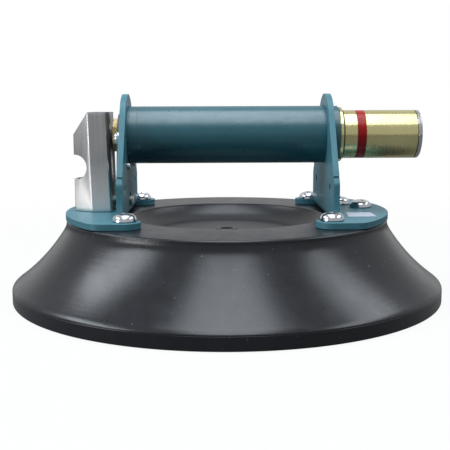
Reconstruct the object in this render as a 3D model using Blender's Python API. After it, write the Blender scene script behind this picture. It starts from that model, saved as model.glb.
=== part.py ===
"""Hand vacuum lifter: a rubber suction pad carried by a painted handle, with a hand pump inside
the handle's tube and a release valve worked by a lever at its left end.

Units are metres. The origin is the centre of the pad's base, +Z is up, and the handle lies along X
with the pump's plunger at +X.
"""
import math

import bmesh
import bpy
from mathutils import Matrix, Vector
from mathutils.geometry import convex_hull_2d

# Running clearance between neighbouring pieces, and between a piece and its seat
FIT_GAP = 0.0003

# Rubber pad
PAD_RADIUS = 0.127
PAD_HEIGHT = 0.0463
PAD_TOP_RADIUS = 0.0950
LIP_BAND_HEIGHT = 0.0078
LIP_SHOULDER_RISE = 0.0016
FLARE_ARC_RADIUS = 0.110
FLARE_NECK_DROP = 0.0048
FLARE_NECK_STEP = 0.0006
PAD_RIM_ROUNDING = 0.0014
PAD_BASE_CHAMFER = 0.0008
SEALING_FACE_WIDTH = 0.006
CHAMBER_HEIGHT = 0.0255
CHAMBER_FLAT_RADIUS = 0.060
CHAMBER_CURVE_POWER = 0.75
DISH_RADIUS = 0.0575
DISH_DEPTH = 0.0093
DISH_FLOOR_RADIUS = 0.0400
NUB_RADIUS = 0.0063
NUB_BORE_RADIUS = 0.0040
NUB_HEIGHT = 0.0012

# Bent sheet brackets
SHEET_THICKNESS = 0.0033
BEND_RADIUS = 0.0017
HANDLE_SPAN = 0.1156
HANDLE_RISE = 0.0481
PLATE_HEAD_RADIUS = 0.0240
PLATE_HALF_WIDTH = 0.0455
PLATE_TAPER = math.radians(33.2)
PLATE_CORNER_ROUNDING = 0.004
EDGE_NOTCH_HEIGHT = 0.0010
EDGE_NOTCH_DEPTH = 0.0012
EDGE_NOTCH_RISE = 0.0257
PLATE_HOLE_RADIUS = 0.00255
PLATE_HOLE_SPREAD = 0.0295
PLATE_HOLE_RISE = 0.0190
FOOT_RIM_OVERHANG = 0.0004
FOOT_LAP = 0.0005
FOOT_HALF_DEPTH = 0.0628
FOOT_CORNER_ROUNDING = 0.008
EAR_RADIUS = 0.0089

# Foot screws and the threaded bushes under them
SCREW_CIRCLE_RADIUS = 0.0766
SCREW_ANGLE = math.radians(43.07)
EAR_CENTRE_SHIFT = 0.0016
SCREW_HEAD_RADIUS = 0.0066
SCREW_HEAD_HEIGHT = 0.0042
SCREW_HEAD_EDGE = 0.0003
SCREW_SHOULDER_SHARE = 0.92
SCREW_CROWN_SHARE = 0.62
SCREW_SHANK_RADIUS = 0.0030
SCREW_DEPTH_IN_PAD = 0.0110
INSERT_RADIUS = 0.0050
INSERT_LENGTH = 0.0120
OUTER_SCREW_FROM_RIM = 0.0132
OUTER_SCREW_ASIDE = 0.0050
INNER_SCREW_FROM_PLATE = 0.0104
INNER_SCREW_ASIDE = 0.0210

# Handle tube and pump
TUBE_RADIUS = 0.0168
TUBE_WALL = 0.0012
TUBE_OVERHANG = 0.0046
BARREL_WALL = 0.0008
BARREL_FLANGE_STEP = 0.0008
BARREL_FLANGE_LIP = 0.0007
BARREL_FLANGE_THICKNESS = 0.0018
WIPER_WIDTH = 0.0021
PUMP_HEAD_SHOULDER = 0.0054
PUMP_HEAD_BOSS = 0.0060
PUMP_NECK_RADIUS = 0.0050
PUMP_NECK_BORE_RADIUS = 0.0030
PUMP_HEAD_WEB = 0.0030
AIR_PORT_RADIUS = 0.0009
AIR_PORT_CIRCLE = 0.0029
AIR_PORT_COUNT = 4
HEAD_SEAL_WIDTH = 0.0024
HEAD_SEAL_DEPTH = 0.0018
CHECK_VALVE_RADIUS = 0.0062
CHECK_VALVE_THICKNESS = 0.0012
CHECK_VALVE_STEM_RADIUS = 0.0012
CHECK_VALVE_STEM_LENGTH = 0.0042
CHECK_VALVE_BARB_RADIUS = 0.0014
RETURN_SPRING_LENGTH = 0.0594
RETURN_SPRING_RADIUS = 0.0100
RETURN_SPRING_WIRE = 0.0007
RETURN_SPRING_TURNS = 9
PISTON_LENGTH = 0.0080
PISTON_SPIGOT = 0.0045
PISTON_CUP_RADIUS = 0.0085
PISTON_SEAL_WIDTH = 0.0026
PISTON_SEAL_DEPTH = 0.0020
PLUNGER_WALL = 0.0014
PLUNGER_REACH = 0.0461
PLUNGER_GROOVE_DEPTH = 0.0006
RED_BAND_OFFSET = 0.0082
RED_BAND_WIDTH = 0.0052
END_CAP_THICKNESS = 0.0023
END_CAP_SPIGOT = 0.0060
END_CAP_ROUNDING = 0.0006

# Release valve on the left plate
VALVE_PLATE_THICKNESS = 0.0022
VALVE_PLATE_HEAD_RADIUS = 0.0125
VALVE_PLATE_FOOT_RADIUS = 0.0046
VALVE_SCREW_SPREAD = 0.0145
VALVE_SCREW_DROP = 0.0174
VALVE_SCREW_RADIUS = 0.0020
VALVE_SCREW_HEAD_RADIUS = 0.0036
VALVE_SCREW_POINT = 0.0018
PLATE_SCREW_SPREAD = 0.0203
PLATE_SCREW_DROP = 0.0012
PLATE_SCREW_HEAD_RADIUS = 0.00385
PLATE_SCREW_HEAD_HEIGHT = 0.0033
PLATE_SCREW_CROWN_SHARE = 0.7
PLATE_SCREW_SHANK_RADIUS = 0.0020
VALVE_NUT_RADIUS = 0.0097
VALVE_NUT_THICKNESS = 0.0029
VALVE_NUT_CHAMFER = 0.0008
VALVE_BODY_RADIUS = 0.0070
VALVE_BODY_LENGTH = 0.0133
VALVE_BODY_CHAMFER = 0.0008
NECK_ENGAGEMENT = 0.0047
VALVE_CHAMBER_LENGTH = 0.0100
VALVE_STEM_RADIUS = 0.0015
STEM_HEAD_RADIUS = 0.0032
STEM_HEAD_THICKNESS = 0.0007
STEM_SEAL_RADIUS = 0.0047
STEM_SEAL_THICKNESS = 0.0015
VALVE_SPRING_LENGTH = 0.0034
VALVE_SPRING_RADIUS = 0.0024
VALVE_SPRING_WIRE = 0.0003
VALVE_SPRING_TURNS = 3
STEM_COLLAR_RADIUS = 0.0029
STEM_COLLAR_THICKNESS = 0.0007
STEM_TIP_LENGTH = 0.0031

# Release lever
LEVER_SHEET = 0.0015
LEVER_HALF_WIDTH = 0.0130
LEVER_LIP_WIDTH = 0.0025
LEVER_LIP_FOLD_LOW = 0.0010
LEVER_LIP_FOLD_TOP = 0.0022
LEVER_WEB_HALF_WIDTH = 0.0055
LEVER_BEND_ROUNDING = 0.0020
LEVER_LIP_ROUNDING = 0.0008
LEVER_PLATE_GAP_LOW = 0.0061
LEVER_PLATE_GAP_TOP = 0.0071
LEVER_FOOT_GAP = 0.0004
LEVER_TOP_ABOVE_AXIS = 0.0136
LEVER_STEM_GAP = 0.0005
LEVER_CUT_HEIGHT = 0.0132
LEVER_CUT_LENGTH = 0.0097
LEVER_FACE_TAPER = 0.0015
LEVER_NOTCH_RADIUS = 0.0072
LEVER_NOTCH_DEPTH = 0.0083
LEVER_NOTCH_DROP = 0.0184
SLOT_WIDTH = 0.0090
SLOT_HEIGHT = 0.0082
SLOT_RISE = 0.0022
SLOT_ROUNDING = 0.0008
TONGUE_SIDE_GAP = 0.0005
TONGUE_RISE = 0.0061
TONGUE_HOOK_DROP = 0.0026
TONGUE_HOOK_THICKNESS = 0.0012
TONGUE_BRIDGE_WIDTH = 0.0015

# Air line from the valve down through foot and pad
PORT_RADIUS = 0.0012
BARB_RADIUS = 0.0026
BARB_LENGTH = 0.0095
BARB_NECK_SHARE = 0.85
BARB_TEETH = 3
BARB_PITCH_SHARE = 0.22
BARB_TIP_SHARE = 0.6
BARB_STEP_SHARE = 0.15
BARB_SLOPE_SHARE = 0.7
HOSE_WALL = 0.0010
HOSE_END_GAP = 0.0006
FITTING_FLANGE_RADIUS = 0.0065
FITTING_FLANGE_THICKNESS = 0.0024
FITTING_SHANK_RADIUS = 0.0040
FILTER_RADIUS = 0.0067
FILTER_THICKNESS = 0.0022
FILTER_POCKET_DEPTH = 0.0030

# Facets round a full turn
PAD_FACETS = 60
TURNED_FACETS = 24
SMALL_FACETS = 12
HOLE_FACETS = 18
CUT_MARGIN = 0.002

# Heights and places that follow from the sizes above
FOOT_LOW = PAD_HEIGHT + FIT_GAP
FOOT_TOP = FOOT_LOW + SHEET_THICKNESS
AXIS_HEIGHT = PAD_HEIGHT + HANDLE_RISE
PLATE_INNER = HANDLE_SPAN / 2
PLATE_OUTER = PLATE_INNER + SHEET_THICKNESS
BARREL_RADIUS = TUBE_RADIUS - TUBE_WALL - FIT_GAP
BARREL_FLANGE_RADIUS = TUBE_RADIUS - BARREL_FLANGE_STEP
WIPER_SEAT_RADIUS = BARREL_FLANGE_RADIUS - BARREL_FLANGE_LIP
BARREL_BORE = BARREL_RADIUS - BARREL_WALL
PLUNGER_RADIUS = BARREL_BORE - FIT_GAP
PLUNGER_BORE = PLUNGER_RADIUS - PLUNGER_WALL
TUBE_RIGHT = PLATE_OUTER + TUBE_OVERHANG
FLANGE_FACE = TUBE_RIGHT + FIT_GAP + BARREL_FLANGE_THICKNESS
PUMP_HEAD_STEP = -PLATE_OUTER + PUMP_HEAD_SHOULDER
PUMP_HEAD_FACE = PUMP_HEAD_STEP + PUMP_HEAD_BOSS
PISTON_FACE = PUMP_HEAD_FACE + RETURN_SPRING_LENGTH + 2 * FIT_GAP
PLUNGER_START = PISTON_FACE + PISTON_LENGTH + FIT_GAP
PLUNGER_END = FLANGE_FACE + PLUNGER_REACH
END_CAP_FACE = PLUNGER_END - END_CAP_THICKNESS
RED_BAND_START = FLANGE_FACE + RED_BAND_OFFSET
VALVE_PLATE_FACE = -PLATE_OUTER - FIT_GAP - VALVE_PLATE_THICKNESS
VALVE_NUT_FACE = VALVE_PLATE_FACE - FIT_GAP - VALVE_NUT_THICKNESS
VALVE_BODY_START = VALVE_NUT_FACE - FIT_GAP
VALVE_BODY_END = VALVE_BODY_START - VALVE_BODY_LENGTH
VALVE_SEAT = VALVE_BODY_START - VALVE_CHAMBER_LENGTH
NECK_END = VALVE_BODY_START - NECK_ENGAGEMENT
STEM_HEAD_BACK = VALVE_SEAT + 2 * FIT_GAP + STEM_SEAL_THICKNESS
STEM_COLLAR_FACE = VALVE_BODY_END - 2 * FIT_GAP - VALVE_SPRING_LENGTH
STEM_END = STEM_COLLAR_FACE - STEM_COLLAR_THICKNESS - STEM_TIP_LENGTH
LEVER_WEB = STEM_END - LEVER_STEM_GAP - LEVER_SHEET
LEVER_LOW = FOOT_TOP + LEVER_FOOT_GAP
LEVER_TOP = AXIS_HEIGHT + LEVER_TOP_ABOVE_AXIS
LEVER_RIGHT_LOW = -PLATE_OUTER - LEVER_PLATE_GAP_LOW
LEVER_RIGHT_TOP = -PLATE_OUTER - LEVER_PLATE_GAP_TOP
TONGUE_LOW = FOOT_TOP + TONGUE_RISE
PIVOT_X = -(PLATE_INNER + PLATE_OUTER) / 2
PIVOT_HEIGHT = TONGUE_LOW + LEVER_SHEET / 2
PORT_X = (NECK_END + STEM_HEAD_BACK) / 2
HOSE_BORE = BARB_RADIUS + FIT_GAP
HOSE_RADIUS = HOSE_BORE + HOSE_WALL
FITTING_TOP = FOOT_TOP + FIT_GAP + FITTING_FLANGE_THICKNESS
HOSE_TOP = AXIS_HEIGHT - VALVE_NUT_RADIUS - HOSE_END_GAP
HOSE_LOW = FITTING_TOP + HOSE_END_GAP

# Finishes: base colour, roughness and metallic value
BLACK_RUBBER = ((0.035, 0.038, 0.045), 0.55, 0.0)
TEAL_PAINT = ((0.095, 0.285, 0.355), 0.35, 0.0)
BRASS = ((0.72, 0.62, 0.36), 0.25, 1.0)
STAINLESS = ((0.56, 0.57, 0.58), 0.32, 1.0)
BRIGHT_ZINC = ((0.78, 0.79, 0.82), 0.18, 1.0)
SPRING_STEEL = ((0.42, 0.43, 0.45), 0.3, 1.0)
DARK_GREY = ((0.07, 0.07, 0.08), 0.45, 0.0)
RED_LINE = ((0.55, 0.012, 0.015), 0.35, 0.0)
WHITE_FELT = ((0.75, 0.74, 0.70), 0.95, 0.0)
SOFT_HOSE = ((0.05, 0.05, 0.055), 0.4, 0.0)


def clear_scene():
    for item in list(bpy.data.objects):
        bpy.data.objects.remove(item, do_unlink=True)


def link(item):
    bpy.context.scene.collection.objects.link(item)
    return item


def add_empty(name, location):
    empty = link(bpy.data.objects.new(name, None))
    empty.location = location
    empty.empty_display_size = 0.01
    return empty


def add_finish(piece, finish):
    colour, roughness, metallic = finish
    material = bpy.data.materials.new(piece.name + "_finish")
    material.use_nodes = True
    shader = material.node_tree.nodes["Principled BSDF"]
    shader.inputs["Base Color"].default_value = (*colour, 1.0)
    shader.inputs["Roughness"].default_value = roughness
    shader.inputs["Metallic"].default_value = metallic
    piece.data.materials.append(material)


def add_piece(name, mesh, finish, parent=None, location=(0.0, 0.0, 0.0)):
    piece = link(bpy.data.objects.new(name, mesh))
    piece.parent = parent
    piece.location = location
    add_finish(piece, finish)
    return piece


def add_cutter(name, mesh, parent=None):
    cutter = link(bpy.data.objects.new(name, mesh))
    cutter.parent = parent
    cutter.hide_render = True
    cutter.display_type = "WIRE"
    return cutter


def combine(piece, tool, operation):
    """Boolean of a piece with a tool: DIFFERENCE, UNION or INTERSECT."""
    step = piece.modifiers.new(tool.name, "BOOLEAN")
    step.operation = operation
    step.solver = "EXACT"
    step.object = tool


def to_mesh(name, bm, smooth=False):
    bmesh.ops.recalc_face_normals(bm, faces=bm.faces)
    mesh = bpy.data.meshes.new(name)
    bm.to_mesh(mesh)
    bm.free()
    if smooth:
        mesh.shade_smooth()
        mesh.set_sharp_from_angle(angle=math.radians(30))
    return mesh


def lofted(name, lower, upper, low, high):
    """Solid between two outlines with the same number of (x, y) points, at two heights."""
    bm = bmesh.new()
    bottom = [bm.verts.new((x, y, low)) for x, y in lower]
    top = [bm.verts.new((x, y, high)) for x, y in upper]
    bm.faces.new(bottom)
    bm.faces.new(top)
    for index in range(len(bottom)):
        bm.faces.new((bottom[index - 1], bottom[index], top[index], top[index - 1]))
    bmesh.ops.triangulate(bm, faces=bm.faces[2:])
    return to_mesh(name, bm)


def turned(name, profile, facets=TURNED_FACETS, axis="X"):
    """Solid of revolution from (radius, distance along the axis) points."""
    bm = bmesh.new()
    points = [bm.verts.new((radius, 0.0, along)) for radius, along in profile]
    edges = [bm.edges.new(pair) for pair in zip(points[:-1], points[1:])]
    on_axis = profile[0][0] == 0.0 and profile[-1][0] == 0.0
    if not on_axis:
        edges.append(bm.edges.new((points[-1], points[0])))
    bmesh.ops.spin(
        bm,
        geom=points + edges,
        cent=(0.0, 0.0, 0.0),
        axis=(0.0, 0.0, 1.0),
        dvec=(0.0, 0.0, 0.0),
        angle=2 * math.pi,
        steps=facets,
        use_merge=True,
        use_duplicate=False,
    )
    bmesh.ops.remove_doubles(bm, verts=bm.verts, dist=1e-7)
    if axis == "X":
        bmesh.ops.transform(bm, matrix=Matrix.Rotation(math.pi / 2, 4, "Y"), verts=bm.verts)
    return to_mesh(name, bm, smooth=True)


def ring(inner, outer, start, end):
    """Profile of a plain ring or tube."""
    return [(inner, start), (outer, start), (outer, end), (inner, end)]


def prism(name, outline, axis, low, high):
    """Flat outline pushed along an axis. The outline's points are the other two coordinates in order."""
    bm = bmesh.new()
    place = {
        "X": lambda first, second, along: (along, first, second),
        "Y": lambda first, second, along: (first, along, second),
        "Z": lambda first, second, along: (first, second, along),
    }[axis]
    face = bm.faces.new([bm.verts.new(place(first, second, low)) for first, second in outline])
    pushed = bmesh.ops.extrude_face_region(bm, geom=[face])
    corners = [item for item in pushed["geom"] if isinstance(item, bmesh.types.BMVert)]
    bmesh.ops.translate(bm, vec=Vector(place(0.0, 0.0, high - low)), verts=corners)
    return to_mesh(name, bm)


def rods(name, places, facets=HOLE_FACETS):
    """Separate round rods for drilling: each is (axis, centre, radius, length)."""
    bm = bmesh.new()
    turns = {
        "X": Matrix.Rotation(math.pi / 2, 4, "Y"),
        "Y": Matrix.Rotation(math.pi / 2, 4, "X"),
        "Z": Matrix.Identity(4),
    }
    for axis, centre, radius, length in places:
        bmesh.ops.create_cone(
            bm,
            cap_ends=True,
            segments=facets,
            radius1=radius,
            radius2=radius,
            depth=length,
            matrix=Matrix.Translation(centre) @ turns[axis],
        )
    return to_mesh(name, bm)


def arc(centre, radius, start, end, steps):
    """Points on a circle from one angle to another, in degrees."""
    points = []
    for step in range(steps + 1):
        angle = math.radians(start + (end - start) * step / steps)
        points.append((centre[0] + radius * math.cos(angle), centre[1] + radius * math.sin(angle)))
    return points


def arc_between(start, end, radius, steps):
    """Arc through two points that bulges to the left of the way from start to end."""
    start = Vector(start)
    end = Vector(end)
    chord = end - start
    side = Vector((chord.y, -chord.x)).normalized()
    centre = (start + end) / 2 + side * math.sqrt(radius**2 - (chord.length / 2) ** 2)
    first = start - centre
    swing = first.angle_signed(end - centre)
    points = []
    for step in range(steps + 1):
        turned_arm = Matrix.Rotation(-swing * step / steps, 2) @ first
        points.append(tuple(centre + turned_arm))
    return points


def rounded(outline, radius, steps=4):
    """Outline whose corners become arcs of one radius, or of a radius each."""
    count = len(outline)
    radii = radius if isinstance(radius, (list, tuple)) else [radius] * count
    points = []
    for index in range(count):
        corner = Vector(outline[index])
        back = (Vector(outline[index - 1]) - corner).normalized()
        ahead = (Vector(outline[(index + 1) % count]) - corner).normalized()
        if radii[index] == 0.0:
            points.append(tuple(corner))
            continue
        half = back.angle(ahead) / 2
        middle = corner + (back + ahead).normalized() * radii[index] / math.sin(half)
        first = corner + back * radii[index] / math.tan(half) - middle
        last = corner + ahead * radii[index] / math.tan(half) - middle
        swing = first.angle_signed(last)
        for step in range(steps + 1):
            points.append(tuple(middle + Matrix.Rotation(-swing * step / steps, 2) @ first))
    return points


def inset(outline, distance):
    """Counter-clockwise convex outline moved inwards by a sheet's thickness."""
    count = len(outline)
    points = []
    for index in range(count):
        corner = Vector(outline[index])
        before = (corner - Vector(outline[index - 1])).normalized()
        after = (Vector(outline[(index + 1) % count]) - corner).normalized()
        inward = Vector((-before.y, before.x)) + Vector((-after.y, after.x))
        scale = distance / (1 + before.dot(after))
        points.append(tuple(corner + inward * scale))
    return points


def hull_of_circles(circles, steps=HOLE_FACETS):
    """Outline of the tight band round several circles, each (first, second, radius)."""
    cloud = []
    for first, second, radius in circles:
        cloud.extend(arc((first, second), radius, 0, 360 - 360 / steps, steps - 1))
    return [cloud[index] for index in convex_hull_2d(cloud)]


def coil(name, start, end, coil_radius, wire_radius, turns, finish, parent):
    """Compression spring along X, between two seats."""
    points_per_turn = 9
    total = turns * points_per_turn
    first = start + wire_radius
    last = end - wire_radius
    curve = bpy.data.curves.new(name, "CURVE")
    curve.dimensions = "3D"
    curve.bevel_depth = wire_radius
    curve.bevel_resolution = 1
    curve.use_fill_caps = True
    line = curve.splines.new("POLY")
    line.points.add(total)
    for index, point in enumerate(line.points):
        share = index / total
        angle = 2 * math.pi * turns * share
        along = first + (last - first) * share
        point.co = (along, coil_radius * math.sin(angle), coil_radius * math.cos(angle), 1.0)
    return add_piece(name, curve, finish, parent)


def chamber_height(radius):
    """Height of the hollow under the pad at a distance from the middle."""
    edge = PAD_RADIUS - PAD_BASE_CHAMFER - SEALING_FACE_WIDTH
    if radius <= CHAMBER_FLAT_RADIUS:
        return CHAMBER_HEIGHT
    share = (radius - CHAMBER_FLAT_RADIUS) / (edge - CHAMBER_FLAT_RADIUS)
    return CHAMBER_HEIGHT * max(0.0, 1 - share**2) ** CHAMBER_CURVE_POWER


def pad_profile():
    """Pad section from the middle of the hollow, round the lip, to the middle of the dish."""
    edge = PAD_RADIUS - PAD_BASE_CHAMFER - SEALING_FACE_WIDTH
    steps = 5
    profile = [(0.0, CHAMBER_HEIGHT), (CHAMBER_FLAT_RADIUS / 2, CHAMBER_HEIGHT)]
    for step in range(steps):
        radius = CHAMBER_FLAT_RADIUS + (edge - CHAMBER_FLAT_RADIUS) * math.sin(math.pi / 2 * step / steps)
        profile.append((radius, chamber_height(radius)))
    profile.append((edge, 0.0))
    profile.append((PAD_RADIUS - PAD_BASE_CHAMFER, 0.0))
    profile.append((PAD_RADIUS, PAD_BASE_CHAMFER))
    profile.append((PAD_RADIUS, LIP_BAND_HEIGHT))
    shoulder = (PAD_RADIUS - LIP_SHOULDER_RISE, LIP_BAND_HEIGHT + LIP_SHOULDER_RISE)
    neck = (PAD_TOP_RADIUS + FLARE_NECK_STEP, PAD_HEIGHT - FLARE_NECK_DROP)
    profile.extend(arc_between(shoulder, neck, FLARE_ARC_RADIUS, 5))
    profile.append((PAD_TOP_RADIUS, PAD_HEIGHT - PAD_RIM_ROUNDING))
    rim_centre = (PAD_TOP_RADIUS - PAD_RIM_ROUNDING, PAD_HEIGHT - PAD_RIM_ROUNDING)
    profile.extend(arc(rim_centre, PAD_RIM_ROUNDING, 30, 90, 2))
    dish_floor = PAD_HEIGHT - DISH_DEPTH
    profile.append((DISH_RADIUS, PAD_HEIGHT))
    profile.extend(arc_between((DISH_RADIUS - FIT_GAP, PAD_HEIGHT - FIT_GAP), (DISH_FLOOR_RADIUS, dish_floor),
                               2 * DISH_DEPTH, 3))
    profile.append((NUB_RADIUS + NUB_HEIGHT, dish_floor))
    profile.append((NUB_RADIUS, dish_floor + NUB_HEIGHT))
    profile.append((NUB_BORE_RADIUS, dish_floor + NUB_HEIGHT))
    profile.append((NUB_BORE_RADIUS, dish_floor))
    profile.append((0.0, dish_floor))
    return profile


def screw_places():
    """Centres of the foot screws: four in the ears and two on the right foot."""
    across = SCREW_CIRCLE_RADIUS * math.cos(SCREW_ANGLE)
    deep = SCREW_CIRCLE_RADIUS * math.sin(SCREW_ANGLE)
    return {
        "front_left": (-across, -deep),
        "front_right": (across, -deep),
        "back_left": (-across, deep),
        "back_right": (across, deep),
        "right_outer": (PAD_TOP_RADIUS - OUTER_SCREW_FROM_RIM, OUTER_SCREW_ASIDE),
        "right_inner": (PLATE_OUTER + INNER_SCREW_FROM_PLATE, INNER_SCREW_ASIDE),
    }


def filter_pocket_top():
    return chamber_height(-PORT_X) + FILTER_POCKET_DEPTH


def build_pad():
    pad = add_piece("vacuum_pad", turned("vacuum_pad", pad_profile(), PAD_FACETS, "Z"), BLACK_RUBBER)
    pocket_depth = INSERT_LENGTH + FIT_GAP
    pockets = []
    for across, deep in screw_places().values():
        centre = (across, deep, PAD_HEIGHT - pocket_depth / 2 + CUT_MARGIN / 2)
        pockets.append(("Z", centre, INSERT_RADIUS + FIT_GAP, pocket_depth + CUT_MARGIN))
    port_centre = (PORT_X, 0.0, PAD_HEIGHT / 2)
    pockets.append(("Z", port_centre, FITTING_SHANK_RADIUS + FIT_GAP, PAD_HEIGHT + CUT_MARGIN))
    combine(pad, add_cutter("pad_pockets", rods("pad_pockets", pockets, SMALL_FACETS)), "DIFFERENCE")
    top = filter_pocket_top()
    recess_place = ("Z", (PORT_X, 0.0, top / 2), FILTER_RADIUS + FIT_GAP, top)
    recess = rods("filter_recess", [recess_place], SMALL_FACETS)
    combine(pad, add_cutter("filter_recess", recess), "DIFFERENCE")


def build_foot_fasteners():
    """Pan head screws through the feet and the threaded bushes in the pad that take them."""
    head_low = FOOT_TOP + FIT_GAP
    head_top = head_low + SCREW_HEAD_HEIGHT
    dome = (SCREW_HEAD_HEIGHT - SCREW_HEAD_EDGE) / 2
    screw_profile = [(0.0, PAD_HEIGHT - SCREW_DEPTH_IN_PAD)]
    screw_profile.append((SCREW_SHANK_RADIUS, PAD_HEIGHT - SCREW_DEPTH_IN_PAD))
    screw_profile.append((SCREW_SHANK_RADIUS, head_low))
    screw_profile.append((SCREW_HEAD_RADIUS, head_low))
    screw_profile.append((SCREW_HEAD_RADIUS, head_low + SCREW_HEAD_EDGE))
    screw_profile.append((SCREW_HEAD_RADIUS * SCREW_SHOULDER_SHARE, head_top - dome))
    screw_profile.append((SCREW_HEAD_RADIUS * SCREW_CROWN_SHARE, head_top))
    screw_profile.append((0.0, head_top))
    screw_mesh = turned("foot_screw", screw_profile, SMALL_FACETS, "Z")
    bore = SCREW_SHANK_RADIUS + FIT_GAP
    insert_mesh = turned("pad_insert", ring(bore, INSERT_RADIUS, PAD_HEIGHT - INSERT_LENGTH, PAD_HEIGHT),
                         SMALL_FACETS, "Z")
    for place, (across, deep) in screw_places().items():
        add_piece("foot_screw_" + place, screw_mesh.copy(), BRIGHT_ZINC, location=(across, deep, 0.0))
        add_piece("pad_insert_" + place, insert_mesh.copy(), BRASS, location=(across, deep, 0.0))


def plate_outline():
    """Front view of a bracket's plate: round head, tangent tapered sides and square foot."""
    taper_cos = math.cos(PLATE_TAPER)
    taper_sin = math.sin(PLATE_TAPER)
    corner = AXIS_HEIGHT + (PLATE_HEAD_RADIUS - PLATE_HALF_WIDTH * taper_cos) / taper_sin
    low = PAD_HEIGHT - CUT_MARGIN
    taper_degrees = math.degrees(PLATE_TAPER)
    head = arc((0.0, AXIS_HEIGHT), PLATE_HEAD_RADIUS, taper_degrees, 180 - taper_degrees, 10)
    sides = rounded([(PLATE_HALF_WIDTH, low), (PLATE_HALF_WIDTH, corner), head[0]],
                    [0.0, PLATE_CORNER_ROUNDING, 0.0], 3)
    right = sides[:-1]
    left = [(-across, height) for across, height in reversed(right)]
    return right + head + left


def bent_sheet_profile(side):
    """Section of a bracket: plate, bend and the start of the foot, as (x, z)."""
    outer_bend = BEND_RADIUS + SHEET_THICKNESS
    bend_x = PLATE_INNER + outer_bend
    bend_z = FOOT_LOW + outer_bend
    top = AXIS_HEIGHT + PLATE_HEAD_RADIUS + CUT_MARGIN
    lap = bend_x + SHEET_THICKNESS
    profile = [(PLATE_INNER, top)]
    profile.extend(arc((bend_x, bend_z), outer_bend, 180, 270, 5))
    profile.append((lap, FOOT_LOW))
    profile.append((lap, FOOT_TOP))
    profile.extend(arc((bend_x, bend_z), BEND_RADIUS, 270, 180, 3))
    profile.append((PLATE_OUTER, top))
    return [(side * across, height) for across, height in profile]


def foot_outline(side):
    """Plan of a foot: outer edge along the pad's rim, and an ear reaching inwards at each end."""
    rim = PAD_TOP_RADIUS + FOOT_RIM_OVERHANG
    across, deep = screw_places()["front_right"]
    ear = (across, -deep + EAR_CENTRE_SHIFT)
    inner_edge = PLATE_INNER + BEND_RADIUS + SHEET_THICKNESS + FOOT_LAP
    centre_y = FOOT_HALF_DEPTH - FOOT_CORNER_ROUNDING
    centre_x = math.sqrt((rim - FOOT_CORNER_ROUNDING) ** 2 - centre_y**2)
    rim_angle = math.degrees(math.atan2(centre_y, centre_x))
    half = [(inner_edge, ear[1] - EAR_RADIUS)]
    half.extend(arc(ear, EAR_RADIUS, 270, 90, 8))
    half.extend(arc((centre_x, centre_y), FOOT_CORNER_ROUNDING, 90, rim_angle, 4))
    edge = arc((0.0, 0.0), rim, rim_angle, -rim_angle, 16)[1:-1]
    other_half = [(x, -y) for x, y in reversed(half)]
    return [(side * x, y) for x, y in half + edge + other_half]


def edge_notches():
    """Height of the nicks in a plate's two side edges, and how far from the middle they start."""
    height = PAD_HEIGHT + EDGE_NOTCH_RISE
    reach = (PLATE_HEAD_RADIUS + (AXIS_HEIGHT - height) * math.sin(PLATE_TAPER)) / math.cos(PLATE_TAPER)
    return height, reach - EDGE_NOTCH_DEPTH


def build_bracket(name, side, holes):
    sheet = prism(name, bent_sheet_profile(side), "Y", -FOOT_HALF_DEPTH, FOOT_HALF_DEPTH)
    bracket = add_piece(name, sheet, TEAL_PAINT)
    span = sorted((side * (PLATE_INNER - CUT_MARGIN), side * (PAD_TOP_RADIUS + CUT_MARGIN)))
    outline = add_cutter(name + "_outline", prism(name + "_outline", plate_outline(), "X", *span))
    combine(bracket, outline, "INTERSECT")
    foot = add_cutter(name + "_foot", prism(name + "_foot", foot_outline(side), "Z", FOOT_LOW, FOOT_TOP))
    combine(bracket, foot, "UNION")
    combine(bracket, add_cutter(name + "_holes", rods(name + "_holes", holes)), "DIFFERENCE")
    height, reach = edge_notches()
    for edge, label in ((-1, "front"), (1, "back")):
        sides = sorted((edge * reach, edge * (PLATE_HALF_WIDTH + CUT_MARGIN)))
        box = [(sides[0], height), (sides[1], height), (sides[1], height + EDGE_NOTCH_HEIGHT),
               (sides[0], height + EDGE_NOTCH_HEIGHT)]
        notch_name = name + "_notch_" + label
        combine(bracket, add_cutter(notch_name, prism(notch_name, box, "X", *span)), "DIFFERENCE")
    return bracket


def plate_holes(side):
    """Drilled holes that both brackets have."""
    middle = side * (PLATE_INNER + PLATE_OUTER) / 2
    length = SHEET_THICKNESS + 2 * CUT_MARGIN
    holes = [("X", (middle, 0.0, AXIS_HEIGHT), TUBE_RADIUS + FIT_GAP, length)]
    for edge in (-1, 1):
        centre = (middle, edge * PLATE_HOLE_SPREAD, PAD_HEIGHT + PLATE_HOLE_RISE)
        holes.append(("X", centre, PLATE_HOLE_RADIUS, length))
    for across, deep in screw_places().values():
        if across * side > 0:
            centre = (across, deep, (FOOT_LOW + FOOT_TOP) / 2)
            holes.append(("Z", centre, SCREW_SHANK_RADIUS + FIT_GAP, length))
    return holes


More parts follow.
